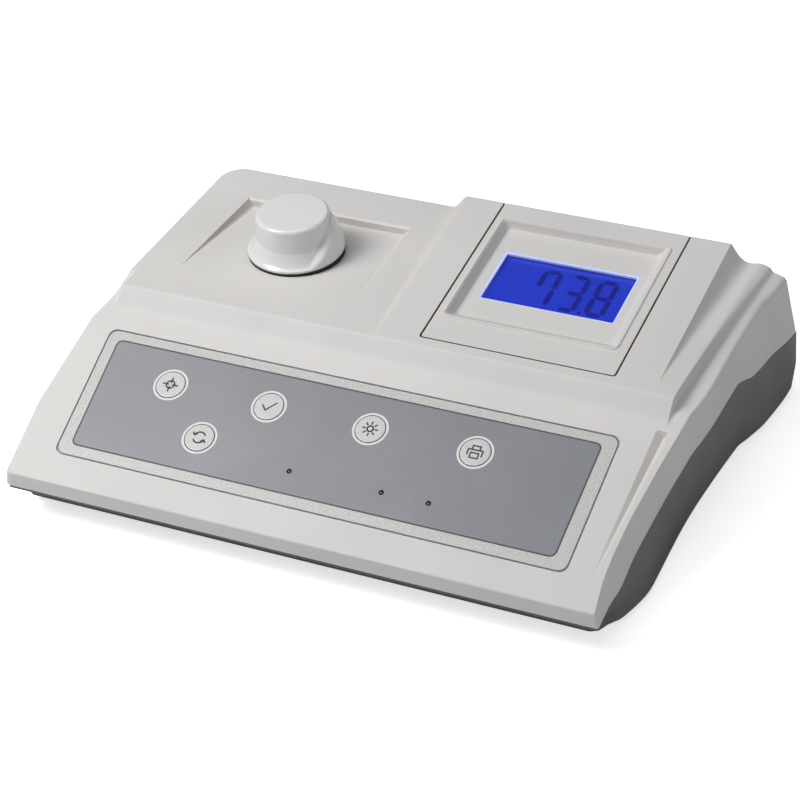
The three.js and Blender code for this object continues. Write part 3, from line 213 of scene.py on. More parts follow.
def finishPiece(thing, material, slot, *nodes, body="case", angle=32):
    thing.data.materials.clear()
    thing.data.materials.append(paint[material])
    for face in thing.data.polygons:
        face.material_index = 0
    thing.data.shade_smooth()
    thing.data.set_sharp_from_angle(angle=math.radians(angle))
    thing.modifiers.new("normals", "WEIGHTED_NORMAL").keep_sharp = True
    applied(thing)
    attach(thing, body)
    if nodes:
        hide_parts(*nodes)


def piece(name, shape, material, slot, *nodes, adds=(), cuts=(), body="case", angle=32):
    thing = asObject(name, shape)
    combine(thing, "UNION", adds)
    combine(thing, "DIFFERENCE", cuts)
    finishPiece(thing, material, slot, *nodes, body=body, angle=angle)


def roundedRectangle(x0, x1, y0, y1, radius, steps=6):
    line = []
    for cx, cy, start in [(x1 - radius, y0 + radius, -90), (x1 - radius, y1 - radius, 0),
                          (x0 + radius, y1 - radius, 90), (x0 + radius, y0 + radius, 180)]:
        for k in range(steps + 1):
            a = math.radians(start + 90 * k / steps)
            line.append((cx + radius * math.cos(a), cy + radius * math.sin(a)))
    return line


def inset(rectangle, amount):
    x0, x1, y0, y1 = rectangle
    return (x0 + amount, x1 - amount, y0 + amount, y1 - amount)


def layered(layers, place, looped=False):  # outlines stacked at their heights
    return loft([[place(x, y, h) for x, y in line] for line, h in layers], looped)


def prism(line, low, high, place=at):
    return layered([(line, low), (line, high)], place)


def circle(radius, sides, x=0, y=0):
    turns = [math.tau * k / sides for k in range(sides)]
    return [(x + radius * math.cos(a), y + radius * math.sin(a)) for a in turns]


def drum(x, y, low, high, radius, place=at, sides=48):
    return prism(circle(radius, sides, x, y), low, high, place)


def block(x0, x1, y0, y1, low, high, place=at):
    return prism([(x0, y0), (x1, y0), (x1, y1), (x0, y1)], low, high, place)


def turned(profile, x, y, sides=96, place=at):  # profile is radius and height, closed on itself or on the axis
    axisRadius = 1e-4  # a ring this small is welded to a point
    return layered([(circle(max(radius, axisRadius), sides, x, y), h) for radius, h in profile], place,
                   looped=profile[0][0] > 0)


# Materials
def socket(tree, kind, inputs, output=0, **settings):  # makes a node, sets or links its inputs, gives one output
    made = tree.nodes.new(kind)
    for label, value in settings.items():
        setattr(made, label, value)
    for label, values in inputs.items():
        for value in values if isinstance(values, list) else [values]:
            if isinstance(value, bpy.types.NodeSocket):
                tree.links.new(value, made.inputs[label])
            else:
                made.inputs[label].default_value = value
    return made.outputs[output]


def feed(tree, shader, **values):  # links sockets into the shader's inputs
    names = {"baseColor": "Base Color", "roughness": "Roughness", "emission": "Emission Color",
             "emissionStrength": "Emission Strength"}
    for label, value in values.items():
        tree.links.new(value, shader.inputs[names[label]])


def surface(name, colour, roughness, metallic=0.0):
    material = bpy.data.materials.new(name)
    material.use_nodes = True
    shader = material.node_tree.nodes["Principled BSDF"]
    for label, value in [("Base Color", (*colour, 1)), ("Roughness", roughness), ("Metallic", metallic)]:
        shader.inputs[label].default_value = value
    return material, material.node_tree, shader


def place3d(tree):
    return socket(tree, "ShaderNodeTexCoord", {}, "Object")


def noiseNode(tree, scale, detail=3.0, stretch=(1, 1, 1)):
    place = socket(tree, "ShaderNodeMapping", {"Scale": stretch, "Vector": place3d(tree)})
    return socket(tree, "ShaderNodeTexNoise", {"Scale": scale, "Detail": detail, "Vector": place}, "Fac")


def ranged(tree, value, low, high, fromLow=0.3, fromHigh=0.7):
    return socket(tree, "ShaderNodeMapRange", {"From Min": fromLow, "From Max": fromHigh, "To Min": low,
                                               "To Max": high, "Value": value}, "Result")


def twoTone(tree, factor, first, second):
    return socket(tree, "ShaderNodeMix", {"A": (*first, 1), "B": (*second, 1), "Factor": factor}, "Result",
                  data_type="RGBA")


def darker(colour, share):
    return tuple(c * share for c in colour)


def bump(tree, shader, height, strength, distance):
    normal = socket(tree, "ShaderNodeBump", {"Strength": strength, "Distance": distance, "Height": height}, "Normal")
    tree.links.new(normal, shader.inputs["Normal"])


def moulded(name, colour, roughness, shade=0.94, grain=2600, depth=0.12, sheen=0.5):
    # moulded plastic: a fine texture, a slow drift of tone and slightly uneven gloss
    material, tree, shader = surface(name, colour, roughness)
    drift = ranged(tree, noiseNode(tree, 14, 2), 0, 1)
    gloss = ranged(tree, noiseNode(tree, 60, 4), roughness - 0.04, roughness + 0.05)
    feed(tree, shader, baseColor=twoTone(tree, drift, colour, darker(colour, shade)), roughness=gloss)
    shader.inputs["Specular IOR Level"].default_value = sheen
    bump(tree, shader, noiseNode(tree, grain, 2), depth, 0.00008)
    return material


def speckled(name, colour, fleck, scale, roughness, metallic):
    # printed metallic film: flakes of two tones under a clear face
    material, tree, shader = surface(name, colour, roughness, metallic)
    flakes = ranged(tree, noiseNode(tree, scale, 1), 0, 1, 0.42, 0.58)
    feed(tree, shader, baseColor=twoTone(tree, flakes, colour, fleck))
    bump(tree, shader, noiseNode(tree, scale / 2, 2), 0.06, 0.00003)
    return material


def fieldFilm(name, left, right, scale):
    # the grey field: metallic flakes, and a slow change of tone from left to right
    material, tree, shader = surface(name, left, 0.36, 0.25)
    x = socket(tree, "ShaderNodeSeparateXYZ", {"Vector": place3d(tree)}, "X")
    base = twoTone(tree, ranged(tree, x, 0, 1, -0.14, 0.12), left, right)
    flakes = ranged(tree, noiseNode(tree, scale, 1), 0.9, 1.1, 0.4, 0.6)
    cloud = ranged(tree, noiseNode(tree, 22, 2), 0.95, 1.05)
    tint = socket(tree, "ShaderNodeMath", {0: flakes, 1: cloud}, operation="MULTIPLY")
    tinted = socket(tree, "ShaderNodeVectorMath", {"Vector": base, "Scale": tint}, "Vector", operation="SCALE")
    feed(tree, shader, baseColor=tinted)
    bump(tree, shader, noiseNode(tree, 1800, 2), 0.08, 0.00003)
    return material


def brushed(name, colour, roughness, stretch, metallic=1.0):
    material, tree, shader = surface(name, colour, roughness, metallic)
    lines = noiseNode(tree, 900, 3, stretch)
    feed(tree, shader, roughness=ranged(tree, lines, roughness - 0.08, roughness + 0.1),
         baseColor=twoTone(tree, ranged(tree, lines, 0, 1), colour, darker(colour, 0.85)))
    bump(tree, shader, lines, 0.08, 0.00004)
    return material


def board(name, mask, track):
    # green mask with tracks and pads showing through
    material, tree, shader = surface(name, mask, 0.38)
    colour = socket(tree, "ShaderNodeTexBrick", {
        "Scale": 260, "Mortar Size": 0.04, "Color1": (*mask, 1), "Color2": (*darker(mask, 0.85), 1),
        "Mortar": (*track, 1), "Vector": place3d(tree)}, "Color")
    feed(tree, shader, baseColor=colour)
    bump(tree, shader, colour.node.outputs["Fac"], 0.15, 0.00005)
    return material


def winding(name, colour):
    material, tree, shader = surface(name, colour, 0.35, 0.7)
    turns = socket(tree, "ShaderNodeTexWave", {"Scale": 500, "Distortion": 0.6, "Vector": place3d(tree)}, "Fac",
                   bands_direction="Z")
    feed(tree, shader, baseColor=twoTone(tree, turns, darker(colour, 0.4), colour))
    bump(tree, shader, turns, 0.5, 0.0002)
    return material


def glassy(name, colour, roughness):
    material, tree, shader = surface(name, colour, roughness)
    shader.inputs["Transmission Weight"].default_value = 1.0
    shader.inputs["IOR"].default_value = 1.45
    feed(tree, shader, roughness=ranged(tree, noiseNode(tree, 40, 2), roughness, roughness + 0.04))
    return material


def lit(name, colour, edge, strength, scale):
    # a lit surface with a slightly cloudy light
    material, tree, shader = surface(name, colour, 0.3)
    tone = twoTone(tree, ranged(tree, noiseNode(tree, scale, 2), 0, 1), colour, edge)
    feed(tree, shader, baseColor=tone, emission=tone)
    shader.inputs["Emission Strength"].default_value = strength
    return material


# How each surface is made, and its values in the order that its maker takes them
surfaces = {
    "housingSatin": (moulded, (0.70, 0.683, 0.668), 0.5, 0.94, 2600, 0.12, 0.35),
    "tubSatin": (moulded, (0.15, 0.165, 0.16), 0.5, 0.86, 2000, 0.2),
    "capGloss": (moulded, (0.80, 0.795, 0.785), 0.16, 0.97, 500, 0.03),
    "borderFilm": (speckled, (0.42, 0.42, 0.41), (0.57, 0.57, 0.56), 2400, 0.4, 0.15),
    "greyField": (fieldFilm, (0.25, 0.24, 0.263), (0.185, 0.194, 0.212), 3200),
    "keyFilm": (speckled, (0.52, 0.52, 0.52), (0.64, 0.64, 0.63), 2200, 0.42, 0.05),
    "darkInk": (moulded, (0.06, 0.06, 0.065), 0.45, 0.8, 3000, 0.05),
    "paleInk": (moulded, (0.76, 0.76, 0.75), 0.45, 0.95, 3000, 0.05),
    "satinBlack": (moulded, (0.012, 0.012, 0.013), 0.42, 0.7, 1800, 0.2),
    "softRubber": (moulded, (0.018, 0.018, 0.018), 0.8, 0.7, 1500, 0.4),
    "clearWindow": (glassy, (0.95, 0.97, 1.0), 0.02),
    "opticalGlass": (glassy, (0.97, 0.97, 0.94), 0.0),
    "lcdLit": (lit, (0.008, 0.028, 0.42), (0.008, 0.024, 0.38), 0.85, 30),
    "lcdSegment": (lit, (0.002, 0.006, 0.22), (0.0018, 0.0054, 0.198), 0.75, 60),
    "edgeGlow": (lit, (0.28, 0.36, 1.0), (0.36, 0.44, 1.0), 0.9, 40),
    "lightGuide": (lit, (0.55, 0.62, 1.0), (0.5, 0.58, 1.0), 0.4, 40),
    "greenBoard": (board, (0.015, 0.10, 0.04), (0.05, 0.22, 0.07)),
    "brightSteel": (brushed, (0.56, 0.57, 0.58), 0.26, (1, 1, 1)),
    "brushedSheet": (brushed, (0.50, 0.51, 0.52), 0.34, (0.04, 1, 1)),
    "anodised": (brushed, (0.02, 0.02, 0.022), 0.45, (1, 1, 0.1), 0.3),
    "copperTurns": (winding, (0.55, 0.22, 0.09)),
    "redLens": (moulded, (0.09, 0.03, 0.028), 0.25, 0.8, 400, 0.05),
}
capCoat = 0.5
paint = {name: make(name, *values) for name, (make, *values) in surfaces.items()}
paint["capGloss"].node_tree.nodes["Principled BSDF"].inputs["Coat Weight"].default_value = capCoat
print("materials made")


# Case
def panelHeight(y):
    return y * math.tan(case["panelSlope"])


def bossRise(y):
    return max(0, (y - hoodY) * math.tan(boss["slope"]))


topLine = softCorners([
    (-1, panelHeight(-1), 0, 0), (case["panelRun"], panelHeight(case["panelRun"]), *case["hoodFoot"]),
    (hoodY, deck, *case["hoodTop"]), (caseDepth + 1, deck, 0, 0)])


def topZ(y):
    for low, high in zip(topLine, topLine[1:]):
        if y <= high.x:
            return mix(low.y, high.y, (y - low.x) / max(high.x - low.x, tiny))
    return deck


def edgeInset(y):  # how far the front and rear edges are rounded in
    front, rear = case["lipRound"], case["rearRound"]
    into = max(0, front - y)
    out = max(0, y - caseDepth + rear)
    return front + rear - math.sqrt(front * front - into * into) - math.sqrt(rear * rear - out * out)


def shoulderX(y):
    return case["lipHalfWidth"] + case["shoulderFlare"] * follow(shoulderShares, y / caseDepth)


def shoulderZ(y):
    return min(panelHeight(y), shoulderHeight)


def partingZ(y):
    return case["partingRise"] * follow(partingShares, y / caseDepth) - case["lipHeight"]


def footX(y):
    return case["lipHalfWidth"] + case["footFlare"] * follow(footShares, y / caseDepth)


def rightWallX(y, z):
    return shoulderX(y) + (shoulderZ(y) - z) * case["sideDraft"]


def leftWallX(y, z):
    near = case["frontCorner"] * (1 - ramp(y, 0, case["frontCorner"]))
    front = case["frontTaper"] * (1 - ramp(y, 0, case["frontTaperRun"]))
    front += case["frontCorner"] - math.sqrt(case["frontCorner"] ** 2 - near ** 2)
    into = max(0, y - caseDepth + case["rearCorner"])
    rear = case["rearCorner"] - math.sqrt(case["rearCorner"] ** 2 - into ** 2)
    taper = case["leftRearTaper"] * ramp(y, 0, caseDepth)
    taper += case["leftHoodTaper"] * ramp(y, case["panelRun"] - case["frontTaper"], hoodY)
    return front + taper + rear - case["leftHalfWidth"] - (deck - z) * case["sideDraft"]


def leftFootX(y):
    front = case["leftFootTaper"] * (1 - ramp(y, 0, case["leftFootTaperRun"]))
    return max(leftWallX(y, deck) + case["leftHalfWidth"], front) - case["leftFootHalfWidth"]


def fluteCorners(y, top, shoulder):
    # right of the boss: the scoop, the rib, the notch beside it, and the groove on the front slope
    back, flute = ramp(y, hoodY, caseDepth), ramp(y, boss["fluteStart"], caseDepth)
    right, high = boss["right"], top + bossRise(y)
    drop = topZ(y) - top
    crest = right + mix(boss["ribFront"], boss["ribRear"], back)
    notch = right + mix(boss["notchFront"], boss["notchRear"], back)
    rim = deck + bossRise(boss["fluteStart"])
    floor = min(high, rim - boss["fluteDepth"] * flute - drop)
    rear = [(right + 0.1, high, 0.3, 2), (right + 0.2, high, 0.3, 3), (right + 0.3, high, 0.3, 2),
            (right + 0.4 + boss["scoopWall"] * flute, mix(high, floor, boss["scoopBend"]), 3.2, 6),
            (right + 0.8 + boss["scoopRun"] * flute ** boss["scoopSpread"], floor, 3, 5),
            (crest, top - 0.1 * back, mix(0.7, 3.2, back), 7),
            (max(crest + 0.2, mix(crest, notch, back * 0.75)), top - boss["ribDrop"] * back, 0.9, 4),
            (notch, min(top, shoulderZ(y) + boss["notchLift"] * back - drop), 1.2, 4)]
    groove = ramp(y, boss["grooveStart"], boss["grooveEnd"])
    closing = ease(ramp(y, boss["grooveEnd"] - boss["grooveClose"], boss["grooveEnd"]))
    deep = boss["grooveDepth"] * groove * (1 - closing)
    edge = mix(boss["grooveFront"], boss["grooveRear"], groove)
    width = mix(boss["grooveTip"], boss["grooveWidth"], groove)
    front = [(edge, top, 0.35, 2), (edge + width * boss["grooveLow"], top - deep, 0.7, 3),
             (edge + width, top, 0.6, 2)]
    for k, corner in enumerate(rear[3:]):
        front.append((mix(edge + width, shoulder, (k + 1) / 6), top, corner[2], corner[3]))
    slide = ramp(y, boss["slideStart"], boss["slideEnd"])
    return [(mix(a[0], b[0], slide), mix(a[1], b[1], slide), b[2] if slide else a[2], a[3])
            for a, b in zip(front, rear)]


def upperSection(y):
    foot, edge = partingZ(y), edgeInset(y)
    top = topZ(y) - edge
    shoulderTop = min(panelHeight(y), deck) - edge
    rounding = case["panelEdgeRound"]
    leftX = leftWallX(y, shoulderTop) + edge
    bandX = max(leftX + rounding + 0.4, -case["bandLeftEnd"])
    bandTopX = bandX + case["bandFoot"] + case["bandSlant"] * max(0, top - shoulderTop)
    back = ramp(y, hoodY, caseDepth)
    shoulder = shoulderX(y) - edge
    return section(y, [
        (leftWallX(y, foot) + edge, foot, 0, 0), (leftX, shoulderTop, rounding, 10),
        (bandX, shoulderTop, 0.8, 4), (bandTopX, top, 1.2, 4),
        (boss["left"] - mix(0.8, boss["flankRun"], back), top, 1.6, 4),
        (boss["left"], top + bossRise(y), 1.6, 5), (boss["right"], top + bossRise(y), 0.5, 4),
        *fluteCorners(y, top, shoulder),
        (shoulder, shoulderZ(y) - edge, mix(1.2, 2.6, back), 6), (rightWallX(y, foot) - edge, foot, 0, 0)])


def innerSection(y, skin):
    foot, top = partingZ(y) - case["overrun"], topZ(y) - skin
    low = min(topZ(y), shoulderZ(y) + boss["notchLift"]) - boss["grooveDepth"] - skin / 2
    shoulderTop = min(panelHeight(y), deck)
    return section(y, [
        (leftWallX(y, foot) + skin, foot, 0, 0),
        (leftWallX(y, shoulderTop) + skin, shoulderTop - skin, case["panelEdgeRound"] - skin + 0.6, 6),
        (boss["left"] - boss["flankRun"], top, 0, 0), (boss["left"] + skin, top + bossRise(y), 0, 0),
        (boss["right"] - skin, top + bossRise(y), 0, 0), (boss["right"], low, 0, 0),
        (shoulderX(y) - skin, min(low, shoulderZ(y) - skin), 0, 0), (rightWallX(y, foot) - skin, foot, 0, 0)])


def stations(start, end, *special):
    count = round((end - start) / case["step"])
    places = [mix(start, end, k / count) for k in range(count + 1)] + [s for s in special if start < s < end]
    places.sort()
    nearest = 0.05
    return [p for i, p in enumerate(places) if i == 0 or p - places[i - 1] > nearest]


def edgeStations(depth, radius, steps=6):  # closer together where an edge is rounded
    turns = [math.radians(90 * k / steps) for k in range(1, steps)]
    return [radius * (1 - math.cos(a)) for a in turns] + [depth - radius * (1 - math.cos(a)) for a in turns]


hoodStations = [p.x for p in topLine] + [boss["grooveEnd"] - gap for gap in (0, 0.3, 0.6, 0.9)]
hoodStations += [boss[name] for name in ("slideStart", "slideEnd", "fluteStart", "grooveStart")]
upperStations = stations(0, caseDepth, *hoodStations, *edgeStations(caseDepth, case["lipRound"]),
                         *edgeStations(caseDepth, case["rearRound"]),
                         *edgeStations(caseDepth, case["rearCorner"], 10))
innerStations = [y for y in upperStations[::2] if wall < y < caseDepth - wall]
innerStations = [wall, *innerStations, caseDepth - wall]

well = {"recessHalfWidth": 47.5, "leftFront": 2, "leftRear": 3.2, "footRun": 0.6, "recessFront": 34,
        "recessRear": 33.5, "recessDepth": 4.4, "recessLip": 0.3, "collarRadius": 24.1, "collarProud": 0.4,
        "collarFlange": 3.4, "flangeHeight": 2.5, "wallSlant": 0.8, "vialBore": 13.3, "tubeWall": 2.1,
        "floor": 2, "foot": -16, "proud": 6.1, "beamHeight": 4, "beamRadius": 4}
wellX, wellY = centreOf("well_collar")
recessFrontY, recessRearY = wellY - well["recessFront"], wellY + well["recessRear"]


def recessSection(y, deep):  # a trough across the deck, with its upper edges eased and its left foot dished
    lip = well["recessLip"] * min(1, deep)
    back = ramp(y, recessFrontY, recessRearY)
    x0 = wellX - well["recessHalfWidth"] + mix(-well["leftFront"], well["leftRear"], back)
    x1 = wellX + well["recessHalfWidth"]
    run, slant = well["footRun"] * deep, well["wallSlant"] * deep
    over = deck + case["toolOver"]
    return [at(x, y, z) for x, z in [
        (x0 - lip, over), (x0 - lip, deck), (x0 - lip * 0.3, deck - lip * 0.3), (x0, deck - lip),
        (x0 + run * 0.3, deck - deep * 0.5), (x0 + run * 0.55, deck - deep * 0.82), (x0 + run, deck - deep),
        (x1 - slant, deck - deep), (x1 + lip * 0.2, deck - lip * 0.4),
        (x1 + lip * 1.6, deck), (x1 + lip * 1.6, over)]]


def recessCutter():
    least, count = 0.02, 12
    rings = [recessSection(mix(recessFrontY, recessRearY, k / count), max(least, well["recessDepth"] * k / count))
             for k in range(count + 1)]
    for past, deep in [(0.15, 1.0), (0.6, 0.5), (1.1, 0.2), (1.8, least)]:  # the rear wall, run out at its top
        rings.append(recessSection(recessRearY + past, deep))
    return loft(rings)


display = {
    "bezelShares": (0.1547, 0.8517, 0.0569, 1), "rimShares": (0.176, 0.8182, 0.1998, 0.8992),
    "trayShares": (0.2067, 0.774, 0.267, 0.8699), "windowShares": (0.2552, 0.7413, 0.3997, 0.708),
    "thickness": 3, "sideGap": 0.85, "pocketCorner": 1.6, "rimHeight": 0.8, "rimWidth": 1.8, "rimFoot": 0.12,
    "rimCrest": 0.62, "trayDepth": 4, "trayFloor": 1.5, "trayWall": 2.4, "trayBend": 1.35, "traySoft": 0.35,
    "trayStart": 0.45, "ledgeLap": 4, "sealRoom": 0.04, "sealTop": -0.16, "sealFoot": -2.6, "sealCorner": 1.3,
    "glassLap": 2, "windowThickness": 1, "cellThickness": 2.2, "glowTop": 0.03,
}


def onBossPlan(shares):
    left, right, front, rear = shares
    return (mix(boss["left"], boss["right"], left), mix(boss["left"], boss["right"], right),
            bossReach * front, bossReach * rear)


bezelPlan, rimPlan, trayPlan, windowPlan = [onBossPlan(display[name + "Shares"])
                                            for name in ("bezel", "rim", "tray", "window")]

keypad = {
    "lowShare": 0.1615, "highShare": 0.8793, "lowHalf": 131.3, "highHalf": 133.5, "corner": 5, "thickness": 0.5,
    "sideGap": 0.4, "keyRadius": 7.3, "keyClearance": 0.4, "keyProud": 0.4, "keyFlange": 1.6, "flangeHeight": 1,
    "plunger": 2, "plungerLength": 5.2, "rowHighShare": 0.646, "rowLowShare": 0.4052, "keyPitch": 53.3,
    "rowCentre": -10.7, "lampShare": 0.3417, "lampRadius": 1.1, "lampLength": 12, "lamps": (-13.6, 33.8, 57.4),
    "fieldLow": 5.9, "fieldHigh": 5.0, "fieldLeft": 6.0, "fieldRight": 6.9, "fieldCorner": 3.4, "lineCorner": 4,
    "lineWidth": 0.8, "ringWidth": 1.15, "ringThickness": 0.1, "markWidth": 0.8, "markThickness": 0.04,
}
panelLength = case["panelRun"] / math.cos(case["panelSlope"])
overlayLowS, overlayHighS, rowHigh, rowLow, lampRow = [
    panelLength * keypad[name] for name in ("lowShare", "highShare", "rowHighShare", "rowLowShare", "lampShare")]
keyPlaces = {name: (keypad["rowCentre"] + keypad["keyPitch"] * steps, row) for name, steps, row in [
    ("calibrate", -1.5, rowHigh), ("confirm", -0.5, rowHigh), ("backlight", 0.5, rowHigh), ("print", 1.5, rowHigh),
    ("mode", -1, rowLow)]}


def overlayOutline(left, right, low, high, corner):  # insets from the sheet's four edges
    spread, steps = keypad["highHalf"] - keypad["lowHalf"], 8
    x0, x1 = overlayCentre - keypad["lowHalf"] + left, overlayCentre + keypad["lowHalf"] - right
    corners = [(x0, overlayLowS + low), (x1, overlayLowS + low), (x1 + spread, overlayHighS - high),
               (x0 - spread, overlayHighS - high)]
    return softCorners([(x, s, corner, steps) for x, s in corners])


def sheetOutline(amount):
    return overlayOutline(*[amount] * 4, keypad["corner"])


def panelHoles(low, high):  # openings for the keys and the indicator lamps
    keyHole, lampHole = keypad["keyRadius"] + keypad["keyClearance"], keypad["lampRadius"] + seam
    holes = [drum(x, s, low, high, keyHole, onPanel, 64) for x, s in keyPlaces.values()]
    return holes + [drum(x, lampRow, low, high, lampHole, onPanel, 24) for x in keypad["lamps"]]


rear = {"panelLeft": -48, "panelRight": 122, "panelLow": -11, "panelHigh": 30, "lap": 3.5, "thickness": 2, "z": 9,
        "corner": 1.5}
caseScrewNodes = [f"case_screw_{k}" for k in range(1, 5)]
caseScrewPlaces = [centreOf(node) for node in caseScrewNodes]


def rearCutout():
    return block(rear["panelLeft"] + rear["lap"], rear["panelRight"] - rear["lap"], caseDepth - wall * 2,
                 caseDepth + case["overrun"], rear["panelLow"] + rear["lap"], rear["panelHigh"] - rear["lap"])


def makeHousing():
    over = case["overrun"]
    housing = asObject("fine_housing", loft([upperSection(y) for y in upperStations]))
    combine(housing, "DIFFERENCE", [loft([innerSection(y, wall) for y in innerStations])])

    under, panFloor, pocketFloor = deck - wall / 2, deck - well["recessDepth"] - wall, -display["thickness"] - seam
    x0, x1 = wellX - well["recessHalfWidth"] - wall, wellX + well["recessHalfWidth"] + wall
    pan = loft([[at(x0, y, under), at(x0, y, low), at(x1, y, low), at(x1, y, under)]
                for y, low in [(recessFrontY - wall, deck - wall), (recessRearY + wall, panFloor)]])
    seat = drum(wellX, wellY, panFloor, under, well["collarRadius"] + wall * 2)
    (left, right, front), lap = bezelPlan[:3], display["ledgeLap"]
    ledge = block(left - lap, right + lap, front - lap, bossReach - wall, pocketFloor - wall, -wall / 2, onBoss)
    posts = [drum(x, y, seam, topZ(y - case["postRadius"]) - wall / 2, case["postRadius"], sides=32)
             for x, y in caseScrewPlaces]
    combine(housing, "UNION", [pan, seat, ledge, *posts])

    bezelRoom = inset((left, right, front, bossReach + over), -display["sideGap"])
    pocket = prism(roundedRectangle(*bezelRoom, display["pocketCorner"]), pocketFloor, over, onBoss)
    trayRoom = inset(trayPlan, -display["trayWall"] - seam)
    hole = block(*trayRoom, -display["trayDepth"] - over, over, onBoss)
    film = prism(sheetOutline(-keypad["sideGap"]), -keypad["thickness"] - seam, over, onPanel)
    wellHole = drum(wellX, wellY, panFloor - 1, deck + over, well["collarRadius"] + seam, sides=96)
    combine(housing, "DIFFERENCE", [recessCutter(), wellHole, pocket, hole, film, *panelHoles(-wall - over, over),
                                    rearCutout()])
    finishPiece(housing, "housingSatin", "shell_white", "upper_housing", angle=28)
    print("housing made")


def tubBottom(y):
    bevel = ramp(y, caseDepth - case["rearBevelRun"], caseDepth)
    return mix(-case["drop"], case["rearBevelRise"] - case["drop"], bevel)


def tubSection(y, skin, top, bottom, steps):
    ankle = min(bottom + case["footLipHeight"], (top + bottom) / 2)
    rightAnkle = footX(y) - case["footLip"] * follow(footLipShares, y / caseDepth)
    leftFoot = leftFootX(y)
    return section(y, [
        (rightWallX(y, top) - skin, top, 0, 0), (rightAnkle - skin, ankle, 1.2, steps),
        (footX(y) - skin, bottom, 0.9, steps), (leftFoot + skin, bottom, 1.4, steps),
        (leftFoot + skin, ankle, 2, steps), (leftWallX(y, top) + skin, top, 0, 0)])


def makeTub():
    start, soft = case["baseSetback"], case["baseRound"]
    base, lip, over = -case["drop"], case["lipLedge"], case["toolOver"]
    seamTop = lambda y: partingZ(y) - seam
    eased = lambda y: soft - math.sqrt(max(0, soft ** 2 - max(0, soft - (y - start)) ** 2))
    places = stations(start, caseDepth, *edgeStations(caseDepth, case["rearCorner"], 10),
                      caseDepth - case["rearBevelRun"], start + soft,
                      *[start + soft * (1 - math.cos(math.radians(a))) for a in (20, 40, 60, 80)])
    tub = asObject("fine_tub", loft([tubSection(y, eased(y), seamTop(y), tubBottom(y) + eased(y), 4)
                                     for y in places]))
    inside = [y for y in places[::2] if start + wall < y < caseDepth - wall]
    combine(tub, "DIFFERENCE", [loft([
        tubSection(y, wall, seamTop(y) + case["overrun"], tubBottom(y + wall / 2) + wall, 0)
        for y in (start + wall, *inside, caseDepth - wall)])])

    ledge = []
    for y in (lip, start + wall):
        top = seamTop(y)
        x0, x1 = leftWallX(y, top) + lip, rightWallX(y, top) - lip
        ledge.append([at(x1, y, top), at(x1, y, top - wall), at(x0, y, top - wall), at(x0, y, top)])
    floor, ribRear = base + wall / 2, caseDepth - wall - seam * 2 - rear["thickness"]
    bosses = [drum(x, y, floor, 0, case["postRadius"], sides=32) for x, y in caseScrewPlaces]
    ribs = [block(x - wall, x + wall, ribRear - wall, ribRear, floor, rear["panelHigh"] / 2)
            for x in (rear["panelLeft"], rear["panelRight"])]
    boardScrews = [f"main_board_screw_{k}" for k in range(1, 5)] + ["power_board_screw_1", "power_board_screw_2"]
    standoffs = [drum(*centreOf(node), floor, base + wall + case["standoffHeight"], case["standoffRadius"], sides=24)
                 for node in boardScrews]
    combine(tub, "UNION", [loft(ledge), *bosses, *ribs, *standoffs])
    holes = [drum(x, y, base - over, top, radius, sides=sides) for top, radius, sides in [
        (base + case["screwSink"], case["screwSinkRadius"], 32), (over, case["shankHole"], 24)]
        for x, y in caseScrewPlaces]
    combine(tub, "DIFFERENCE", [*holes, rearCutout()])
    finishPiece(tub, "tubSatin", "shell_grey", "lower_case", angle=28)
    print("lower case made")


def makeBezel():
    depth, floor, foot, crest = display["trayDepth"], display["trayFloor"], display["rimFoot"], display["rimCrest"]
    base, height = -display["thickness"], display["rimHeight"]
    outer = (*bezelPlan[:3], bossReach - seam)
    mouth, wallPlan = inset(rimPlan, display["rimWidth"]), inset(trayPlan, -display["trayWall"])
    # each row is a plan, its corner radius and its height
    rows = [(outer, 1.2, base), (outer, 1.2, -0.35), (inset(outer, 0.12), 1.1, -0.1), (inset(outer, 0.4), 1.0, 0),
            (inset(rimPlan, -0.5), 3.6, 0), (inset(rimPlan, -0.1), 3.3, foot)]
    for share in (0.15, 0.3, 0.5, 0.7, 0.85, 1):  # the raised rim
        along = 0.5 + 0.5 * math.cos(math.pi * (1 - share))
        rows.append((inset(rimPlan, display["rimWidth"] * crest * along), 3.2 - 1.0 * share,
                     foot + (height - foot) * math.sin(math.pi * min(share, crest))))
    for share in (0.12, 0.3, 0.5, 0.7, 0.86, 0.95, 1):  # the dished wall down to the tray
        plan = tuple(mix(a, b, share ** display["trayBend"]) for a, b in zip(mouth, trayPlan))
        rows.append((plan, 2.2, mix(display["trayStart"], -depth, mix(share, ease(share), display["traySoft"]))))
    rows += [(inset(windowPlan, -0.4), 1.2, -depth), (inset(windowPlan, -0.1), 1.0, -depth - 0.12),
             (windowPlan, 0.9, -depth - 0.4), (windowPlan, 0.9, -depth - floor), (wallPlan, 2.5, -depth - floor),
             (wallPlan, 2.5, base)]
    piece("fine_bezel", layered([(roundedRectangle(*plan, radius, 8), h) for plan, radius, h in rows], onBoss, True),
          "housingSatin", "shell_white", "display_bezel", angle=40)

    near, far = -display["sealRoom"], display["sealRoom"] - display["sideGap"]
    strip = [(near, display["sealFoot"]), (near, display["sealTop"]), (far, display["sealTop"]),
             (far, display["sealFoot"])]
    openRear = block(outer[0] - 2, outer[1] + 2, outer[3] - 0.6, outer[3] + 2, -4, 1, onBoss)
    piece("bezel_seal", layered([(roundedRectangle(*inset(outer, wide), display["sealCorner"]), h)
                                 for wide, h in strip], onBoss, True),
          "softRubber", "rubber_black", cuts=[openRear])
    print("bezel made")


makeHousing()
makeTub()
makeBezel()


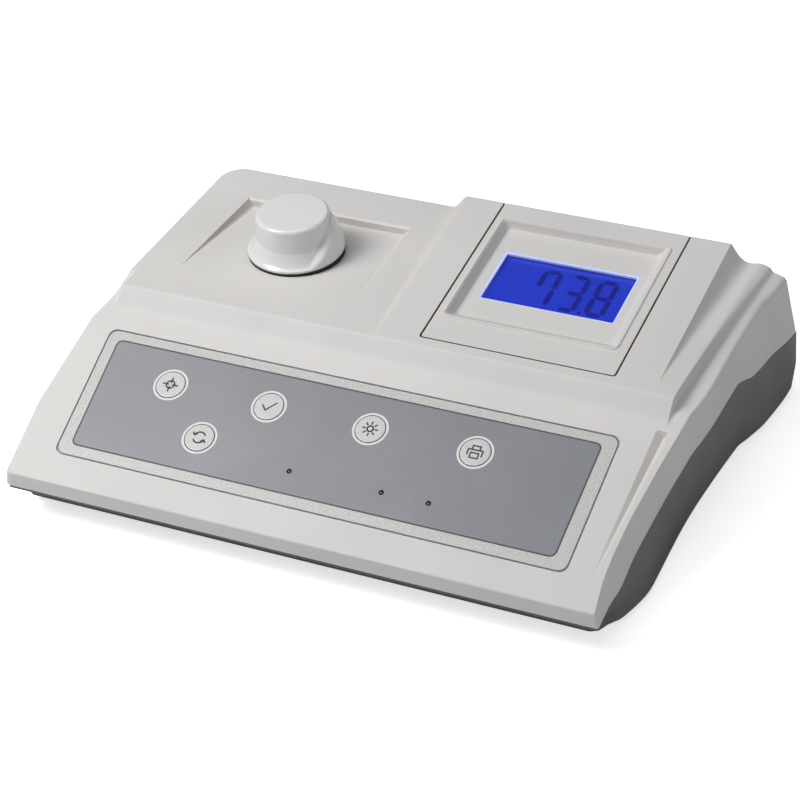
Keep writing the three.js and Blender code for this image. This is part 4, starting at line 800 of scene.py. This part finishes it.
# Display
digits = {"text": "738", "pointAfter": 2, "height": 28, "width": 10.6, "pitch": 14.6, "left": 57.5, "low": 50.6,
          "stroke": 2.8, "gap": 0.6, "thickness": 0.08, "above": 0.02, "pointBack": 1.6, "pointRadius": 1.0}
segmentsOf = {"0": "abcdef", "1": "bc", "2": "abged", "3": "abgcd", "4": "fgbc", "5": "afgcd", "6": "afgedc",
              "7": "abcf", "8": "abcdefg", "9": "abcdfg"}


def bar(length, width):  # one lit segment: a bar with pointed ends
    end, tip = length / 2, width / 2
    return [(-end, 0), (-end + tip, -tip), (end - tip, -tip), (end, 0), (end - tip, tip), (-end + tip, tip)]


def digitBars():
    bars = []
    stroke, gap = digits["stroke"], digits["gap"]
    w, h = digits["width"] - stroke, digits["height"] - stroke
    middles = {"a": (w / 2, h, 0), "g": (w / 2, h / 2, 0), "d": (w / 2, 0, 0), "f": (0, h * 0.75, 1),
               "b": (w, h * 0.75, 1), "e": (0, h * 0.25, 1), "c": (w, h * 0.25, 1)}
    for place, digit in enumerate(digits["text"]):
        x0, s0 = digits["left"] + place * digits["pitch"] + stroke / 2, digits["low"] + stroke / 2
        for x, s, upright in [middles[name] for name in segmentsOf[digit]]:
            line = bar((h / 2 if upright else w) - gap, stroke)
            bars.append([(x0 + x - b, s0 + s + a) if upright else (x0 + x + a, s0 + s + b) for a, b in line])
    return bars


def makeScreen():
    plan = inset(windowPlan, -display["glassLap"])
    top = -display["trayDepth"] - display["trayFloor"] - seam
    piece("fine_window", prism(roundedRectangle(*plan, 0.8, 3), top - display["windowThickness"], top, onBoss),
          "clearWindow", "clear_window", "display_window")
    cellTop = top - display["windowThickness"] - seam
    piece("fine_cell", prism(roundedRectangle(*plan, 0.6, 3), cellTop - display["cellThickness"], cellTop, onBoss),
          "lcdLit", "lcd_blue", "lcd_cell")
    low, high = cellTop + digits["above"], cellTop + digits["above"] + digits["thickness"]
    shapes = [prism(line, low, high, onBoss) for line in digitBars()]
    dotX = digits["left"] + digits["pitch"] * digits["pointAfter"] - digits["pointBack"]
    shapes.append(drum(dotX, digits["low"] + 1, low, high, digits["pointRadius"], onBoss, 20))
    piece("shown_number", joinedMesh(shapes), "lcdSegment", "lcd_blue")
    level = -display["trayDepth"]
    rim = [(-0.75, 0.01), (-0.75, display["glowTop"]), (-0.15, display["glowTop"]), (0.05, -0.35)]
    piece("edge_light", layered([(roundedRectangle(*inset(windowPlan, wide), 0.9, 4), level + h) for wide, h in rim],
                                onBoss, True), "edgeGlow", "backlight")
    print("display made")


makeScreen()


# Keypad
def makeOverlay():
    thick, line, sunk, soft = keypad["thickness"], keypad["lineWidth"], -0.02, 0.08
    insets = [keypad[name] for name in ("fieldLeft", "fieldRight", "fieldLow", "fieldHigh")]
    piece("fine_overlay", layered([(sheetOutline(0), -thick), (sheetOutline(0), -soft), (sheetOutline(soft), 0)],
                                  onPanel), "borderFilm", "keypad_film", "keypad_overlay", cuts=panelHoles(-2, 2))
    piece("overlay_field", prism(overlayOutline(*(i + line for i in insets), keypad["fieldCorner"]), sunk, 0.035,
                                 onPanel), "greyField", "keypad_film", cuts=panelHoles(-2, 2))
    outline = [(overlayOutline(*(i + extra for i in insets), keypad["lineCorner"] - extra), h)
               for extra, h in [(0, sunk), (0, 0.03), (line, 0.03), (line, sunk)]]
    piece("overlay_line", layered(outline, onPanel, True), "darkInk", "keypad_film")
    # a dark strip just inside the sheet's edge: painted shade for the shadow in the gap round the sheet
    edge = [(sheetOutline(e), h) for e, h in [(0.1, sunk), (0.1, 0.02), (0.42, 0.02), (0.42, sunk)]]
    piece("overlay_edge_painted_shade", layered(edge, onPanel, True), "darkInk", "keypad_film")


def newTree(name, labels):  # a tree with a size for each label, and its given values
    tree = bpy.data.node_groups.new(name, "GeometryNodeTree")
    tree.interface.new_socket("Geometry", in_out="INPUT", socket_type="NodeSocketGeometry")
    for label in labels:
        tree.interface.new_socket(label, in_out="INPUT", socket_type="NodeSocketFloat")
    tree.interface.new_socket("Material", in_out="INPUT", socket_type="NodeSocketMaterial")
    tree.interface.new_socket("Geometry", in_out="OUTPUT", socket_type="NodeSocketGeometry")
    return tree, tree.nodes.new("NodeGroupInput").outputs


def calculated(tree, operation, a, b):
    return socket(tree, "ShaderNodeMath", {0: a, 1: b}, operation=operation)


def closeTree(tree, given, shape, **turns):  # one at each point, made real, then the material
    places = socket(tree, "GeometryNodeInstanceOnPoints", {"Points": given["Geometry"], "Instance": shape, **turns})
    real = socket(tree, "GeometryNodeRealizeInstances", {"Geometry": places})
    painted = socket(tree, "GeometryNodeSetMaterial", {"Geometry": real, "Material": given["Material"]})
    tree.links.new(painted, tree.nodes.new("NodeGroupOutput").inputs["Geometry"])
    return tree


def grow(name, tree, points, sizes, material, slot, *nodes, axes=()):
    # the tree grows its pieces on loose points, and the result is kept as a plain mesh
    mesh = bpy.data.meshes.new(name)
    mesh.from_pydata(points, [], [])
    if axes:
        layer = mesh.attributes.new("axis", "FLOAT_VECTOR", "POINT")
        for k, axis in enumerate(axes):
            layer.data[k].vector = axis
    thing = bpy.data.objects.new(name, mesh)
    modifier = thing.modifiers.new("grow", "NODES")
    modifier.node_group = tree
    values = {**sizes, "Material": paint[material]}
    for item in tree.interface.items_tree:
        if item.in_out == "INPUT" and item.name in values:
            modifier[item.identifier] = values[item.name]
    bpy.context.scene.collection.objects.link(thing)
    finishPiece(applied(thing), material, slot, *nodes)


def ringTree():
    tree, given = newTree("printedRings", ["Inner Radius", "Outer Radius", "Tilt"])
    inner, outer = given["Inner Radius"], given["Outer Radius"]
    middle = calculated(tree, "MULTIPLY", calculated(tree, "ADD", inner, outer), 0.5)
    path = socket(tree, "GeometryNodeCurvePrimitiveCircle", {"Resolution": 72, "Radius": middle}, "Curve")
    profile = socket(tree, "GeometryNodeCurvePrimitiveQuadrilateral", {
        "Height": keypad["ringThickness"] * mm, "Width": calculated(tree, "SUBTRACT", outer, inner)}, "Curve")
    ring = socket(tree, "GeometryNodeCurveToMesh", {"Curve": path, "Profile Curve": profile})
    return closeTree(tree, given, ring, Rotation=socket(tree, "ShaderNodeCombineXYZ", {"X": given["Tilt"]}))


def stroke(points, width, height):  # a drawn line as thin plates on the panel
    parts = []
    for a, b in zip(points, points[1:]):
        a, b = Vector(a), Vector(b)
        along = (b - a).normalized() * width / 2
        side, reach = Vector((-along.y, along.x)), along * 0.6
        line = [a - reach - side, b + reach - side, b + reach + side, a - reach + side]
        parts.append(prism(line, height, height + keypad["markThickness"], onPanel))
    return parts


def arcPoints(radius, start, end, steps=14):
    turns = [math.radians(mix(start, end, k / steps)) for k in range(steps + 1)]
    return [(radius * math.cos(a), radius * math.sin(a)) for a in turns]


# Plain pictograms in place of the legends, drawn about each key's middle
pictograms = {
    "calibrate": [arcPoints(2.1, 0, 360, 24), [(-3.9, 0), (-1, 0)], [(1, 0), (3.9, 0)], [(0, -3.9), (0, -1)],
                  [(0, 1), (0, 3.9)]],
    "mode": [arcPoints(3, 35, 165), arcPoints(3, 215, 345), [(-3.9, 2.2), (-2.9, 0.8), (-1.5, 1.9)],
             [(3.9, -2.2), (2.9, -0.8), (1.5, -1.9)]],
    "confirm": [[(-3.2, 0.1), (-0.9, -2.4), (3.4, 2.6)]],
    "backlight": [arcPoints(1.5, 0, 360, 20)] + [
        [(2.5 * math.cos(a), 2.5 * math.sin(a)), (3.8 * math.cos(a), 3.8 * math.sin(a))]
        for a in [math.radians(45 * k) for k in range(8)]],
    "print": [[(-1.9, 1.1), (-1.9, 3.2), (1.9, 3.2), (1.9, 1.1)],
              [(-3.6, -1.9), (-3.6, 1.1), (3.6, 1.1), (3.6, -1.9)],
              [(-2, -0.6), (-2, -3.3), (2, -3.3), (2, -0.6), (-2, -0.6)]],
}


def makeKeys():
    radius, proud = keypad["keyRadius"], keypad["keyProud"]
    flangeLow = -wall * math.cos(case["panelSlope"]) - seam - keypad["flangeHeight"]
    tip, flangeTop = flangeLow - keypad["plungerLength"], flangeLow + keypad["flangeHeight"]
    flange = radius + keypad["keyFlange"]
    profile = [(0, tip), (keypad["plunger"], tip), (keypad["plunger"], flangeLow), (flange, flangeLow),
               (flange, flangeTop), (radius, flangeTop), (radius, proud * 0.4), (radius - 0.12, proud * 0.75),
               (radius - 0.4, proud * 0.95), (radius - 1, proud), (0, proud)]
    for name, (x, s) in keyPlaces.items():
        piece(f"fine_key_{name}", turned(profile, x, s, 72, onPanel), "keyFilm", "key_pale", f"key_{name}",
              body=f"{name}_key")
        drawn = []
        for line in pictograms[name]:
            drawn += stroke([(x + px, s + py) for px, py in line], keypad["markWidth"], proud - 0.01)
        piece(f"mark_{name}", joinedMesh(drawn), "darkInk", "key_pale", body=f"{name}_key")
    inner = radius + keypad["keyClearance"] + 0.03
    sizes = {"Inner Radius": inner * mm, "Outer Radius": (inner + keypad["ringWidth"]) * mm,
             "Tilt": case["panelSlope"]}
    places = [onPanel(x, s, 0.0) for x, s in keyPlaces.values()]
    grow("key_rings", ringTree(), places, sizes, "paleInk", "keypad_film")
    r, low = keypad["lampRadius"], -keypad["lampLength"]
    profile = [(0, low), (r, low), (r, -0.5), (r * 0.85, -0.1), (r * 0.5, 0.12), (0, 0.2)]
    for k, x in enumerate(keypad["lamps"], 1):
        piece(f"fine_lamp_{k}", turned(profile, x, lampRow, 32, onPanel), "redLens", "lamp_lens",
              f"indicator_lamp_{k}")
    print("keypad made")


makeOverlay()
makeKeys()

cap = {"skirtRadius": 24.7, "topRadius": 18.6, "height": 21.3, "cavityRadius": 16.3, "roof": 2.4, "edgeRound": 2.2,
       "rimHeight": 1.5, "flareHeight": 8.6, "flareBend": 0.62, "neckSpread": 0.5, "flankTurn": 20,
       "flankFootSpread": 62, "flankTopSpread": 5, "flankFade": 9, "flankTop": 3.0, "flankProud": 0.9,
       "flankBend": 1.15, "footRound": 0.6, "sides": 144}
flankHeight, capShoulder = cap["height"] - cap["flankTop"], cap["height"] - cap["edgeRound"]


def neckRadius(h):  # the plain side of the cap: flared skirt, then a nearly straight neck
    if h <= cap["rimHeight"]:
        return cap["skirtRadius"]
    neck = cap["topRadius"] + cap["neckSpread"]
    if h < cap["flareHeight"]:
        share = (h - cap["rimHeight"]) / (cap["flareHeight"] - cap["rimHeight"])
        return mix(cap["skirtRadius"], neck, share ** cap["flareBend"] * 0.9 + 0.1 * share)
    return mix(neck, cap["topRadius"], ramp(h, cap["flareHeight"], cap["height"]))


def flankRadius(h):  # the grip side runs straight from the top edge down to the skirt
    if h >= flankHeight:
        return neckRadius(h)
    share = ramp(h, cap["rimHeight"], flankHeight) ** cap["flankBend"]
    return mix(cap["skirtRadius"], cap["topRadius"] + cap["flankProud"], share)


def capRing(h, inward, z):
    line = []
    spread = mix(cap["flankFootSpread"], cap["flankTopSpread"], ramp(h, cap["rimHeight"], flankHeight))
    for k in range(cap["sides"]):
        angle = 360 * k / cap["sides"]
        away = abs((angle - cap["flankTurn"] + 180) % 360 - 180)
        weight = 1 - ease(ramp(away, spread, spread + cap["flankFade"]))
        radius = mix(neckRadius(h), max(neckRadius(h), flankRadius(h)), weight) - inward
        turn = math.radians(angle)
        line.append(at(wellX + radius * math.cos(turn), wellY + radius * math.sin(turn), z))
    return line


def makeCap():
    bore, soft, cavity = well["vialBore"], cap["edgeRound"], cap["cavityRadius"]
    top = deck + well["collarProud"]
    foot = top + seam
    heights = [0, 0.15, 0.5, 1.0, cap["rimHeight"]]
    heights += [mix(cap["rimHeight"], cap["flareHeight"], k / 12) for k in range(1, 13)]
    heights += [mix(cap["flareHeight"], flankHeight - 0.35, k / 6) for k in range(1, 7)]
    heights += [flankHeight, flankHeight + 0.3, capShoulder]
    rings = [capRing(0, cap["skirtRadius"] - cavity, foot)]
    rings += [capRing(h, cap["footRound"] * (1 - ramp(h, 0, 0.5)) ** 2, foot + h) for h in heights]
    for turn in [math.radians(90 * k / 8) for k in range(1, 9)]:
        rings.append(capRing(capShoulder, soft * (1 - math.cos(turn)), foot + capShoulder + soft * math.sin(turn)))
    roof, ceiling = foot + cap["height"], foot + cap["height"] - cap["roof"]
    for radius, z in [*[(cap["topRadius"] * share, roof) for share in (0.6, 0.25, 0.001)], (0.02, ceiling),
                      (cavity - 1, ceiling), (cavity, ceiling - 1), (cavity, foot + 0.8)]:
        rings.append([at(x, y, z) for x, y in circle(radius, cap["sides"], wellX, wellY)])
    piece("fine_cap", loft(rings, looped=True), "capGloss", "cap_white", "sample_cap", body="cap", angle=35)

    tube = bore + well["tubeWall"]
    inner, outer, flange = tube + seam, well["collarRadius"], well["collarRadius"] + well["collarFlange"]
    flangeTop = deck - well["recessDepth"] - wall - seam
    flangeLow = flangeTop - well["flangeHeight"]
    piece("fine_collar", turned([
        (inner, flangeLow), (flange, flangeLow), (flange, flangeTop), (outer, flangeTop), (outer, top - 0.5),
        (outer - 0.15, top - 0.15), (outer - 0.5, top), (outer - 3, top), (outer - 3.4, top - 0.5),
        (inner + 1, top - 0.5), (inner, top - 1)], wellX, wellY), "satinBlack", "black_plastic", "well_collar")
    low, rim = well["foot"], deck + well["proud"]
    floor = low + well["floor"]
    ports = []
    for dx, dy in [(1, 0), (-1, 0), (0, -1)]:
        sideways = lambda a, b, h: at(wellX + dx * h - dy * a, wellY + dy * h + dx * a, well["beamHeight"] + b)
        ports.append(drum(0, 0, bore - 3, tube + 3, well["beamRadius"], sideways, 32))
    piece("fine_well", turned([
        (0, low), (tube - 0.4, low), (tube, low + 0.4), (tube, rim - 0.5), (tube - 0.15, rim - 0.15),
        (tube - 0.5, rim), (bore + 0.9, rim), (bore + 0.3, rim - 0.3), (bore, rim - 0.9), (bore, floor + 0.6),
        (bore - 0.6, floor), (0, floor)], wellX, wellY), "satinBlack", "black_plastic", "sample_well", cuts=ports)
    print("cap and well made")


makeCap()


# Rear panel and what is fitted in it: u runs across, v runs up, h stands out behind
fittings = {
    "inletX": 92, "rockerX": 50, "serialX": 2, "face": caseDepth - wall - seam,
    "inletBody": (27, 19.6), "inletFlange": (44, 24), "inletThick": 2.4, "inletDepth": 19, "inletChamfer": 4,
    "inletCavity": (22.8, 15.4), "cavityDepth": 14, "cavityChamfer": 4.2, "earSpread": 18.5, "earRadius": 2.6,
    "pinSize": (1.8, 4), "pinLength": 8.5, "pinSpread": 7, "pinRise": 2, "frame": (16, 22), "frameWall": 1.7,
    "frameThick": 2, "rockerDepth": 15, "rocker": (10.6, 16), "tilt": math.radians(9), "rockerProud": 1.6,
    "rockerBend": 1.6, "serialPlate": (31, 12.5), "plateThick": 1.2, "shell": (17, 8.4), "shellLength": 5.6,
    "shellDepth": 8, "slant": 1.4, "pinPitch": 2.77, "postSpread": 12.5, "postRadius": 2.4, "postLength": 4.8,
}


def onRear(u, v, h):
    return at(u, fittings["face"] + h, rear["z"] + v)


def centred(x, size, radius, steps=6):
    return roundedRectangle(x - size[0] / 2, x + size[0] / 2, -size[1] / 2, size[1] / 2, radius, steps)


def cutCorners(x, size, chamfer):  # the inlet's outline, with its two upper corners cut off
    w, t = size[0] / 2, size[1] / 2
    return [(x - w, -t), (x + w, -t), (x + w, t - chamfer), (x + w - chamfer, t), (x - w + chamfer, t),
            (x - w, t - chamfer)]


def grownBy(size, amount):
    return (size[0] + amount, size[1] + amount)


def makeRear():
    f, chamfer = fittings, 0.8
    plan = (rear["panelLeft"], rear["panelRight"], rear["panelLow"] - rear["z"], rear["panelHigh"] - rear["z"])
    frameHole = grownBy(f["frame"], -f["frameWall"] * 2)
    shellHole = (f["shell"][0] + f["slant"] * 2, f["shell"][1])
    holes = [prism(centred(x, grownBy(size, seam * 2), 0.8, 3), -4, 4, onRear) for x, size in [
        (f["inletX"], f["inletBody"]), (f["rockerX"], frameHole), (f["serialX"], shellHole)]]
    piece("fine_rear_panel", prism(roundedRectangle(*plan, rear["corner"], 4), -rear["thickness"], 0, onRear),
          "brushedSheet", "aluminium", "rear_panel", cuts=holes)

    x, back = f["inletX"], seam + f["inletThick"]
    cavityFloor, body = back - f["cavityDepth"], cutCorners(x, f["inletBody"], f["inletChamfer"])
    flange = layered([(centred(x, f["inletFlange"], 4), seam), (centred(x, f["inletFlange"], 4), back - 0.5),
                      (centred(x, grownBy(f["inletFlange"], -chamfer), 3.6), back)], onRear)
    piece("fine_inlet", flange, "satinBlack", "black_plastic", "power_inlet",
          adds=[prism(body, back - f["inletDepth"], back - 0.6, onRear)],
          cuts=[prism(cutCorners(x, f["inletCavity"], f["cavityChamfer"]), cavityFloor, back + 1, onRear),
                *[drum(x + side * f["earSpread"], 0, back - 1.2, back + 2, f["earRadius"], onRear, 32)
                  for side in (-1, 1)]])
    w, t = f["pinSize"][0] / 2, f["pinSize"][1] / 2
    tip = cavityFloor + f["pinLength"]
    blades = []
    for side, rise in [(-1, -1), (0, 1), (1, -1)]:
        u, v = x + side * f["pinSpread"], rise * f["pinRise"]
        blade = (u - w, u + w, v - t, v + t)
        blades.append(layered([(roundedRectangle(*inset(blade, e), 0.3, 3), h)
                               for e, h in [(0, cavityFloor - 0.4), (0, tip - 1), (0.35, tip)]], onRear))
    piece("inlet_blades", joinedMesh(blades), "brightSteel", "steel")

    x, back = f["rockerX"], seam + f["frameThick"]
    frameShape = layered([
        (centred(x, frameHole, 0.6), back - f["rockerDepth"]), (centred(x, frameHole, 0.6), seam),
        (centred(x, f["frame"], 1.2), seam), (centred(x, f["frame"], 1.2), back - 0.5),
        (centred(x, grownBy(f["frame"], -chamfer), 1), back)], onRear)
    opening = prism(centred(x, grownBy(f["rocker"], seam * 2), 0.4, 3), back - f["rockerDepth"] / 2, back + 1, onRear)
    piece("fine_rocker_frame", frameShape, "satinBlack", "black_plastic", "rocker_frame", cuts=[opening])
    makeRocker(x, back)
    makePort()
    print("rear fittings made")


def makeRocker(x, back):
    tilt, proud, steps, soft = fittings["tilt"], fittings["rockerProud"], 20, 0.25
    width, half = fittings["rocker"][0] / 2, fittings["rocker"][1] / 2
    lift = half * math.tan(tilt)
    side = [(mix(-half, half, k / steps), proud - lift * (1 - abs(mix(-1, 1, k / steps)) ** fittings["rockerBend"]))
            for k in range(steps + 1)]
    side += [(half - lift, -proud), (0, -proud * 2), (lift - half, -proud)]

    def tipped(u, v, h):
        c, n = math.cos(tilt), math.sin(tilt)
        return onRear(x + u, v * c + h * n, back + h * c - v * n)

    rings = [[tipped(u, v * (1 - eased / half), h * (1 - eased / 4)) for v, h in side]
             for u, eased in [(-width, soft), (-width + soft, 0), (width - soft, 0), (width, soft)]]
    piece("fine_rocker", loft(rings), "softRubber", "black_plastic", "power_rocker", body="rocker")


def makePort():
    f = fittings
    x, back = f["serialX"], seam + f["plateThick"]
    w, t, s = f["shell"][0] / 2, f["shell"][1] / 2, f["slant"] / 2
    flare = softCorners([(u, v, 1.6, 5) for u, v in [
        (x - w - s, t), (x + w + s, t), (x + w - s, -t), (x - w + s, -t)]])
    shrunk = lambda across, up: [(x + (u - x) * across, v * up) for u, v in flare]
    piece("fine_port", prism(centred(x, f["serialPlate"], 1.2), seam, back, onRear), "brightSteel", "steel",
          "data_port", adds=[prism(flare, back - f["shellDepth"], back + f["shellLength"], onRear)],
          cuts=[prism(shrunk(0.93, 0.88), back + 1.2, back + 9, onRear)])
    contacts = [(k, 1) for k in (-2, -1, 0, 1, 2)] + [(k, -1) for k in (-1.5, -0.5, 0.5, 1.5)]
    holes = [drum(x + k * f["pinPitch"], row * f["pinPitch"] / 2, back + 2, back + 8, 0.6, onRear, 16)
             for k, row in contacts]
    piece("port_core", prism(shrunk(0.9, 0.82), back + 1.0, back + f["shellLength"] - 0.6, onRear),
          "satinBlack", "black_plastic", cuts=holes)
    radius, length = f["postRadius"], f["postLength"]
    posts = [layered([(circle(r, 6, x + side * f["postSpread"]), back + h) for r, h in [
        (radius, -0.1), (radius, length - 0.4), (radius - 0.4, length)]], onRear) for side in (-1, 1)]
    piece("port_posts", joinedMesh(posts), "brightSteel", "steel")


makeRear()


# Feet and screws, grown on points
def footTree():  # a plain tapered rubber foot
    tree, given = newTree("rubberFeet", ["Radius", "Waist", "Height"])
    body = socket(tree, "GeometryNodeMeshCone", {
        "Vertices": 72, "Side Segments": 6, "Radius Bottom": given["Radius"], "Radius Top": given["Waist"],
        "Depth": given["Height"]}, "Mesh")
    hung = socket(tree, "GeometryNodeTransform", {"Geometry": body, "Rotation": (math.pi, 0, 0)})
    return closeTree(tree, given, hung)


def screwTree():
    # a pan-head screw with a crossed recess, its head's top at the point, turned to the point's axis
    tree, given = newTree("crossScrews", boardScrew)

    def cylinder(radius, depth, sides):
        body = socket(tree, "GeometryNodeMeshCylinder", {"Vertices": sides, "Radius": radius, "Depth": depth}, "Mesh")
        drop = socket(tree, "ShaderNodeCombineXYZ", {"Z": calculated(tree, "MULTIPLY", depth, -0.5)})
        return socket(tree, "GeometryNodeTransform", {"Geometry": body, "Translation": drop})

    parts = [cylinder(given["Head Radius"], given["Head Height"], 40),
             cylinder(given["Shank Radius"], given["Length"], 24)]
    size = socket(tree, "ShaderNodeCombineXYZ", {
        axis: calculated(tree, "MULTIPLY", given["Recess"], share)
        for axis, share in [("X", 1), ("Y", 0.26), ("Z", 0.7)]})
    arm = socket(tree, "GeometryNodeMeshCube", {"Size": size}, "Mesh")
    arms = [socket(tree, "GeometryNodeTransform", {"Geometry": arm, "Rotation": (0, 0, turn)})
            for turn in (0, math.pi / 2)]
    both = socket(tree, "GeometryNodeMeshBoolean", {"Mesh 2": parts}, "Mesh", operation="UNION", solver="EXACT")
    cut = socket(tree, "GeometryNodeMeshBoolean", {"Mesh 1": both, "Mesh 2": arms}, "Mesh", operation="DIFFERENCE",
                 solver="EXACT")
    axis = socket(tree, "GeometryNodeInputNamedAttribute", {"Name": "axis"}, "Attribute", data_type="FLOAT_VECTOR")
    turn = socket(tree, "FunctionNodeAlignRotationToVector", {"Vector": axis}, axis="Z")
    return closeTree(tree, given, cut, Rotation=turn)


boardScrew = {"Head Radius": 2.6, "Head Height": 1.8, "Shank Radius": 1.2, "Length": 8.8, "Recess": 3.0}
caseScrew = {"Head Radius": 3, "Head Height": 2.2, "Shank Radius": 1.5, "Length": 26.2, "Recess": 3.4}
footWaist = 0.85  # of its radius


def endOf(node, end):  # the middle of a CAD node's lower (0) or upper (1) end
    low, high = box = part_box(node)
    return Vector(((low.x + high.x) / 2, (low.y + high.y) / 2, box[end].z))


def makeScrews():
    tree = screwTree()
    into = lambda slope: Vector((0, math.sin(slope), -math.cos(slope)))
    up = Vector((0, 0, 1))
    points, axes, nodes = [], [], []
    for name, count, axis in [
            ("key_board_screw", 4, into(case["panelSlope"])), ("display_screw", 4, into(boss["slope"])),
            ("main_board_screw", 4, up), ("power_board_screw", 2, up)]:
        for node in [f"{name}_{k}" for k in range(1, count + 1)]:
            low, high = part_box(node)
            points.append((low + high) / 2 + axis * boardScrew["Length"] / 2 * mm)
            axes.append(axis)
            nodes.append(node)
    inMetres = lambda sizes: {label: value * mm for label, value in sizes.items()}
    grow("board_screws", tree, points, inMetres(boardScrew), "brightSteel", "steel", *nodes, axes=axes)
    grow("case_screws", tree, [endOf(node, 0) for node in caseScrewNodes], inMetres(caseScrew), "brightSteel",
         "steel", *caseScrewNodes, axes=[-up] * 4)

    names = [f"foot_{end}_{side}" for end in ("front", "rear") for side in ("left", "right")]
    low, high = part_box(names[0])
    radius = (high.x - low.x) / 2
    grow("rubber_feet", footTree(), [endOf(node, 1) for node in names],
         {"Radius": radius, "Waist": radius * footWaist, "Height": high.z - low.z}, "softRubber", "rubber_black",
         *names)
    print("screws and feet made")


makeScrews()

# Pieces that keep their CAD shape get their finish here
insideFinish = {
    **dict.fromkeys(("key_board", "display_board", "main_board", "power_board"), "greenBoard"),
    **dict.fromkeys(("collimating_lens", "source_lamp"), "opticalGlass"),
    **dict.fromkeys(("straight_detector", "scatter_detector", "transformer_core"), "brightSteel"),
    "lcd_backlight": "lightGuide", "optics_block": "anodised", "lamp_house": "brushedSheet",
    "transformer_winding": "copperTurns",
}
for node, name in insideFinish.items():
    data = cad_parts[node].data
    data.materials.clear()
    data.materials.append(paint[name])
print("inner pieces finished")

# Floor, lights and camera
studio = {"floorSize": 6.0, "floorTone": (0.86, 0.86, 0.86), "floorGlow": 0.7, "worldLevel": 0.09, "lens": 109.34,
          "sensor": 36, "cameraPlace": (437.8, -727.2, 726.4), "look": (-0.362, 0.7051, -0.6097),
          "up": (-0.1968, 0.5815, 0.7893), "farthest": 20}
lamps = {  # place, aim, size in metres, power in watts
    "keyLight": ((-740, -360, 1100), (0, 90, 20), 0.6, 12.4),
    "topLight": ((-300, 60, 1560), (0, 100, 0), 1.5, 10.2),
    "sideFill": ((1900, 60, 420), (60, 110, 30), 1.2, 6.0),
}


def byCamera(tree, others, camera):  # one value for the camera's rays, another for all the rest
    return ranged(tree, socket(tree, "ShaderNodeLightPath", {}, "Is Camera Ray"), others, camera, 0, 1)


def makeStudio():
    white, corner = (1, 1, 1, 1), studio["floorSize"] / 2
    mesh = bpy.data.meshes.new("floor")
    mesh.from_pydata([(-corner, -corner, 0), (corner, -corner, 0), (corner, corner, 0), (-corner, corner, 0)], [],
                     [(0, 1, 2, 3)])
    floor = bpy.data.objects.new("floor", mesh)
    bpy.context.scene.collection.objects.link(floor)
    material, tree, shader = surface("paleFloor", studio["floorTone"], 0.8)
    feed(tree, shader, emissionStrength=byCamera(tree, 0, studio["floorGlow"]))
    shader.inputs["Emission Color"].default_value = white
    floor.data.materials.append(material)

    world = bpy.data.worlds.new("studioWorld")
    bpy.context.scene.world = world
    world.use_nodes = True
    background = world.node_tree.nodes["Background"]
    background.inputs["Color"].default_value = white
    world.node_tree.links.new(byCamera(world.node_tree, studio["worldLevel"], 1), background.inputs["Strength"])

    for name, (place, aim, size, power) in lamps.items():
        light = bpy.data.lights.new(name, "AREA")
        light.size, light.energy = size, power
        lamp = bpy.data.objects.new(name, light)
        lamp.location = at(*place)
        lamp.rotation_euler = (at(*aim) - at(*place)).to_track_quat("-Z", "Y").to_euler()
        bpy.context.scene.collection.objects.link(lamp)

    camera = bpy.data.objects.new("photoCamera", bpy.data.cameras.new("photoCamera"))
    camera.data.lens, camera.data.sensor_width, camera.data.clip_end = [
        studio[name] for name in ("lens", "sensor", "farthest")]
    look = Vector(studio["look"]).normalized()
    side = look.cross(Vector(studio["up"])).normalized()
    turn = Matrix((side, side.cross(look), -look)).transposed().to_4x4()
    camera.matrix_world = Matrix.Translation(at(*studio["cameraPlace"])) @ turn
    bpy.context.scene.collection.objects.link(camera)
    bpy.context.scene.camera = camera
    bpy.context.scene.view_settings.view_transform = "Standard"
    print("studio made")


makeStudio()
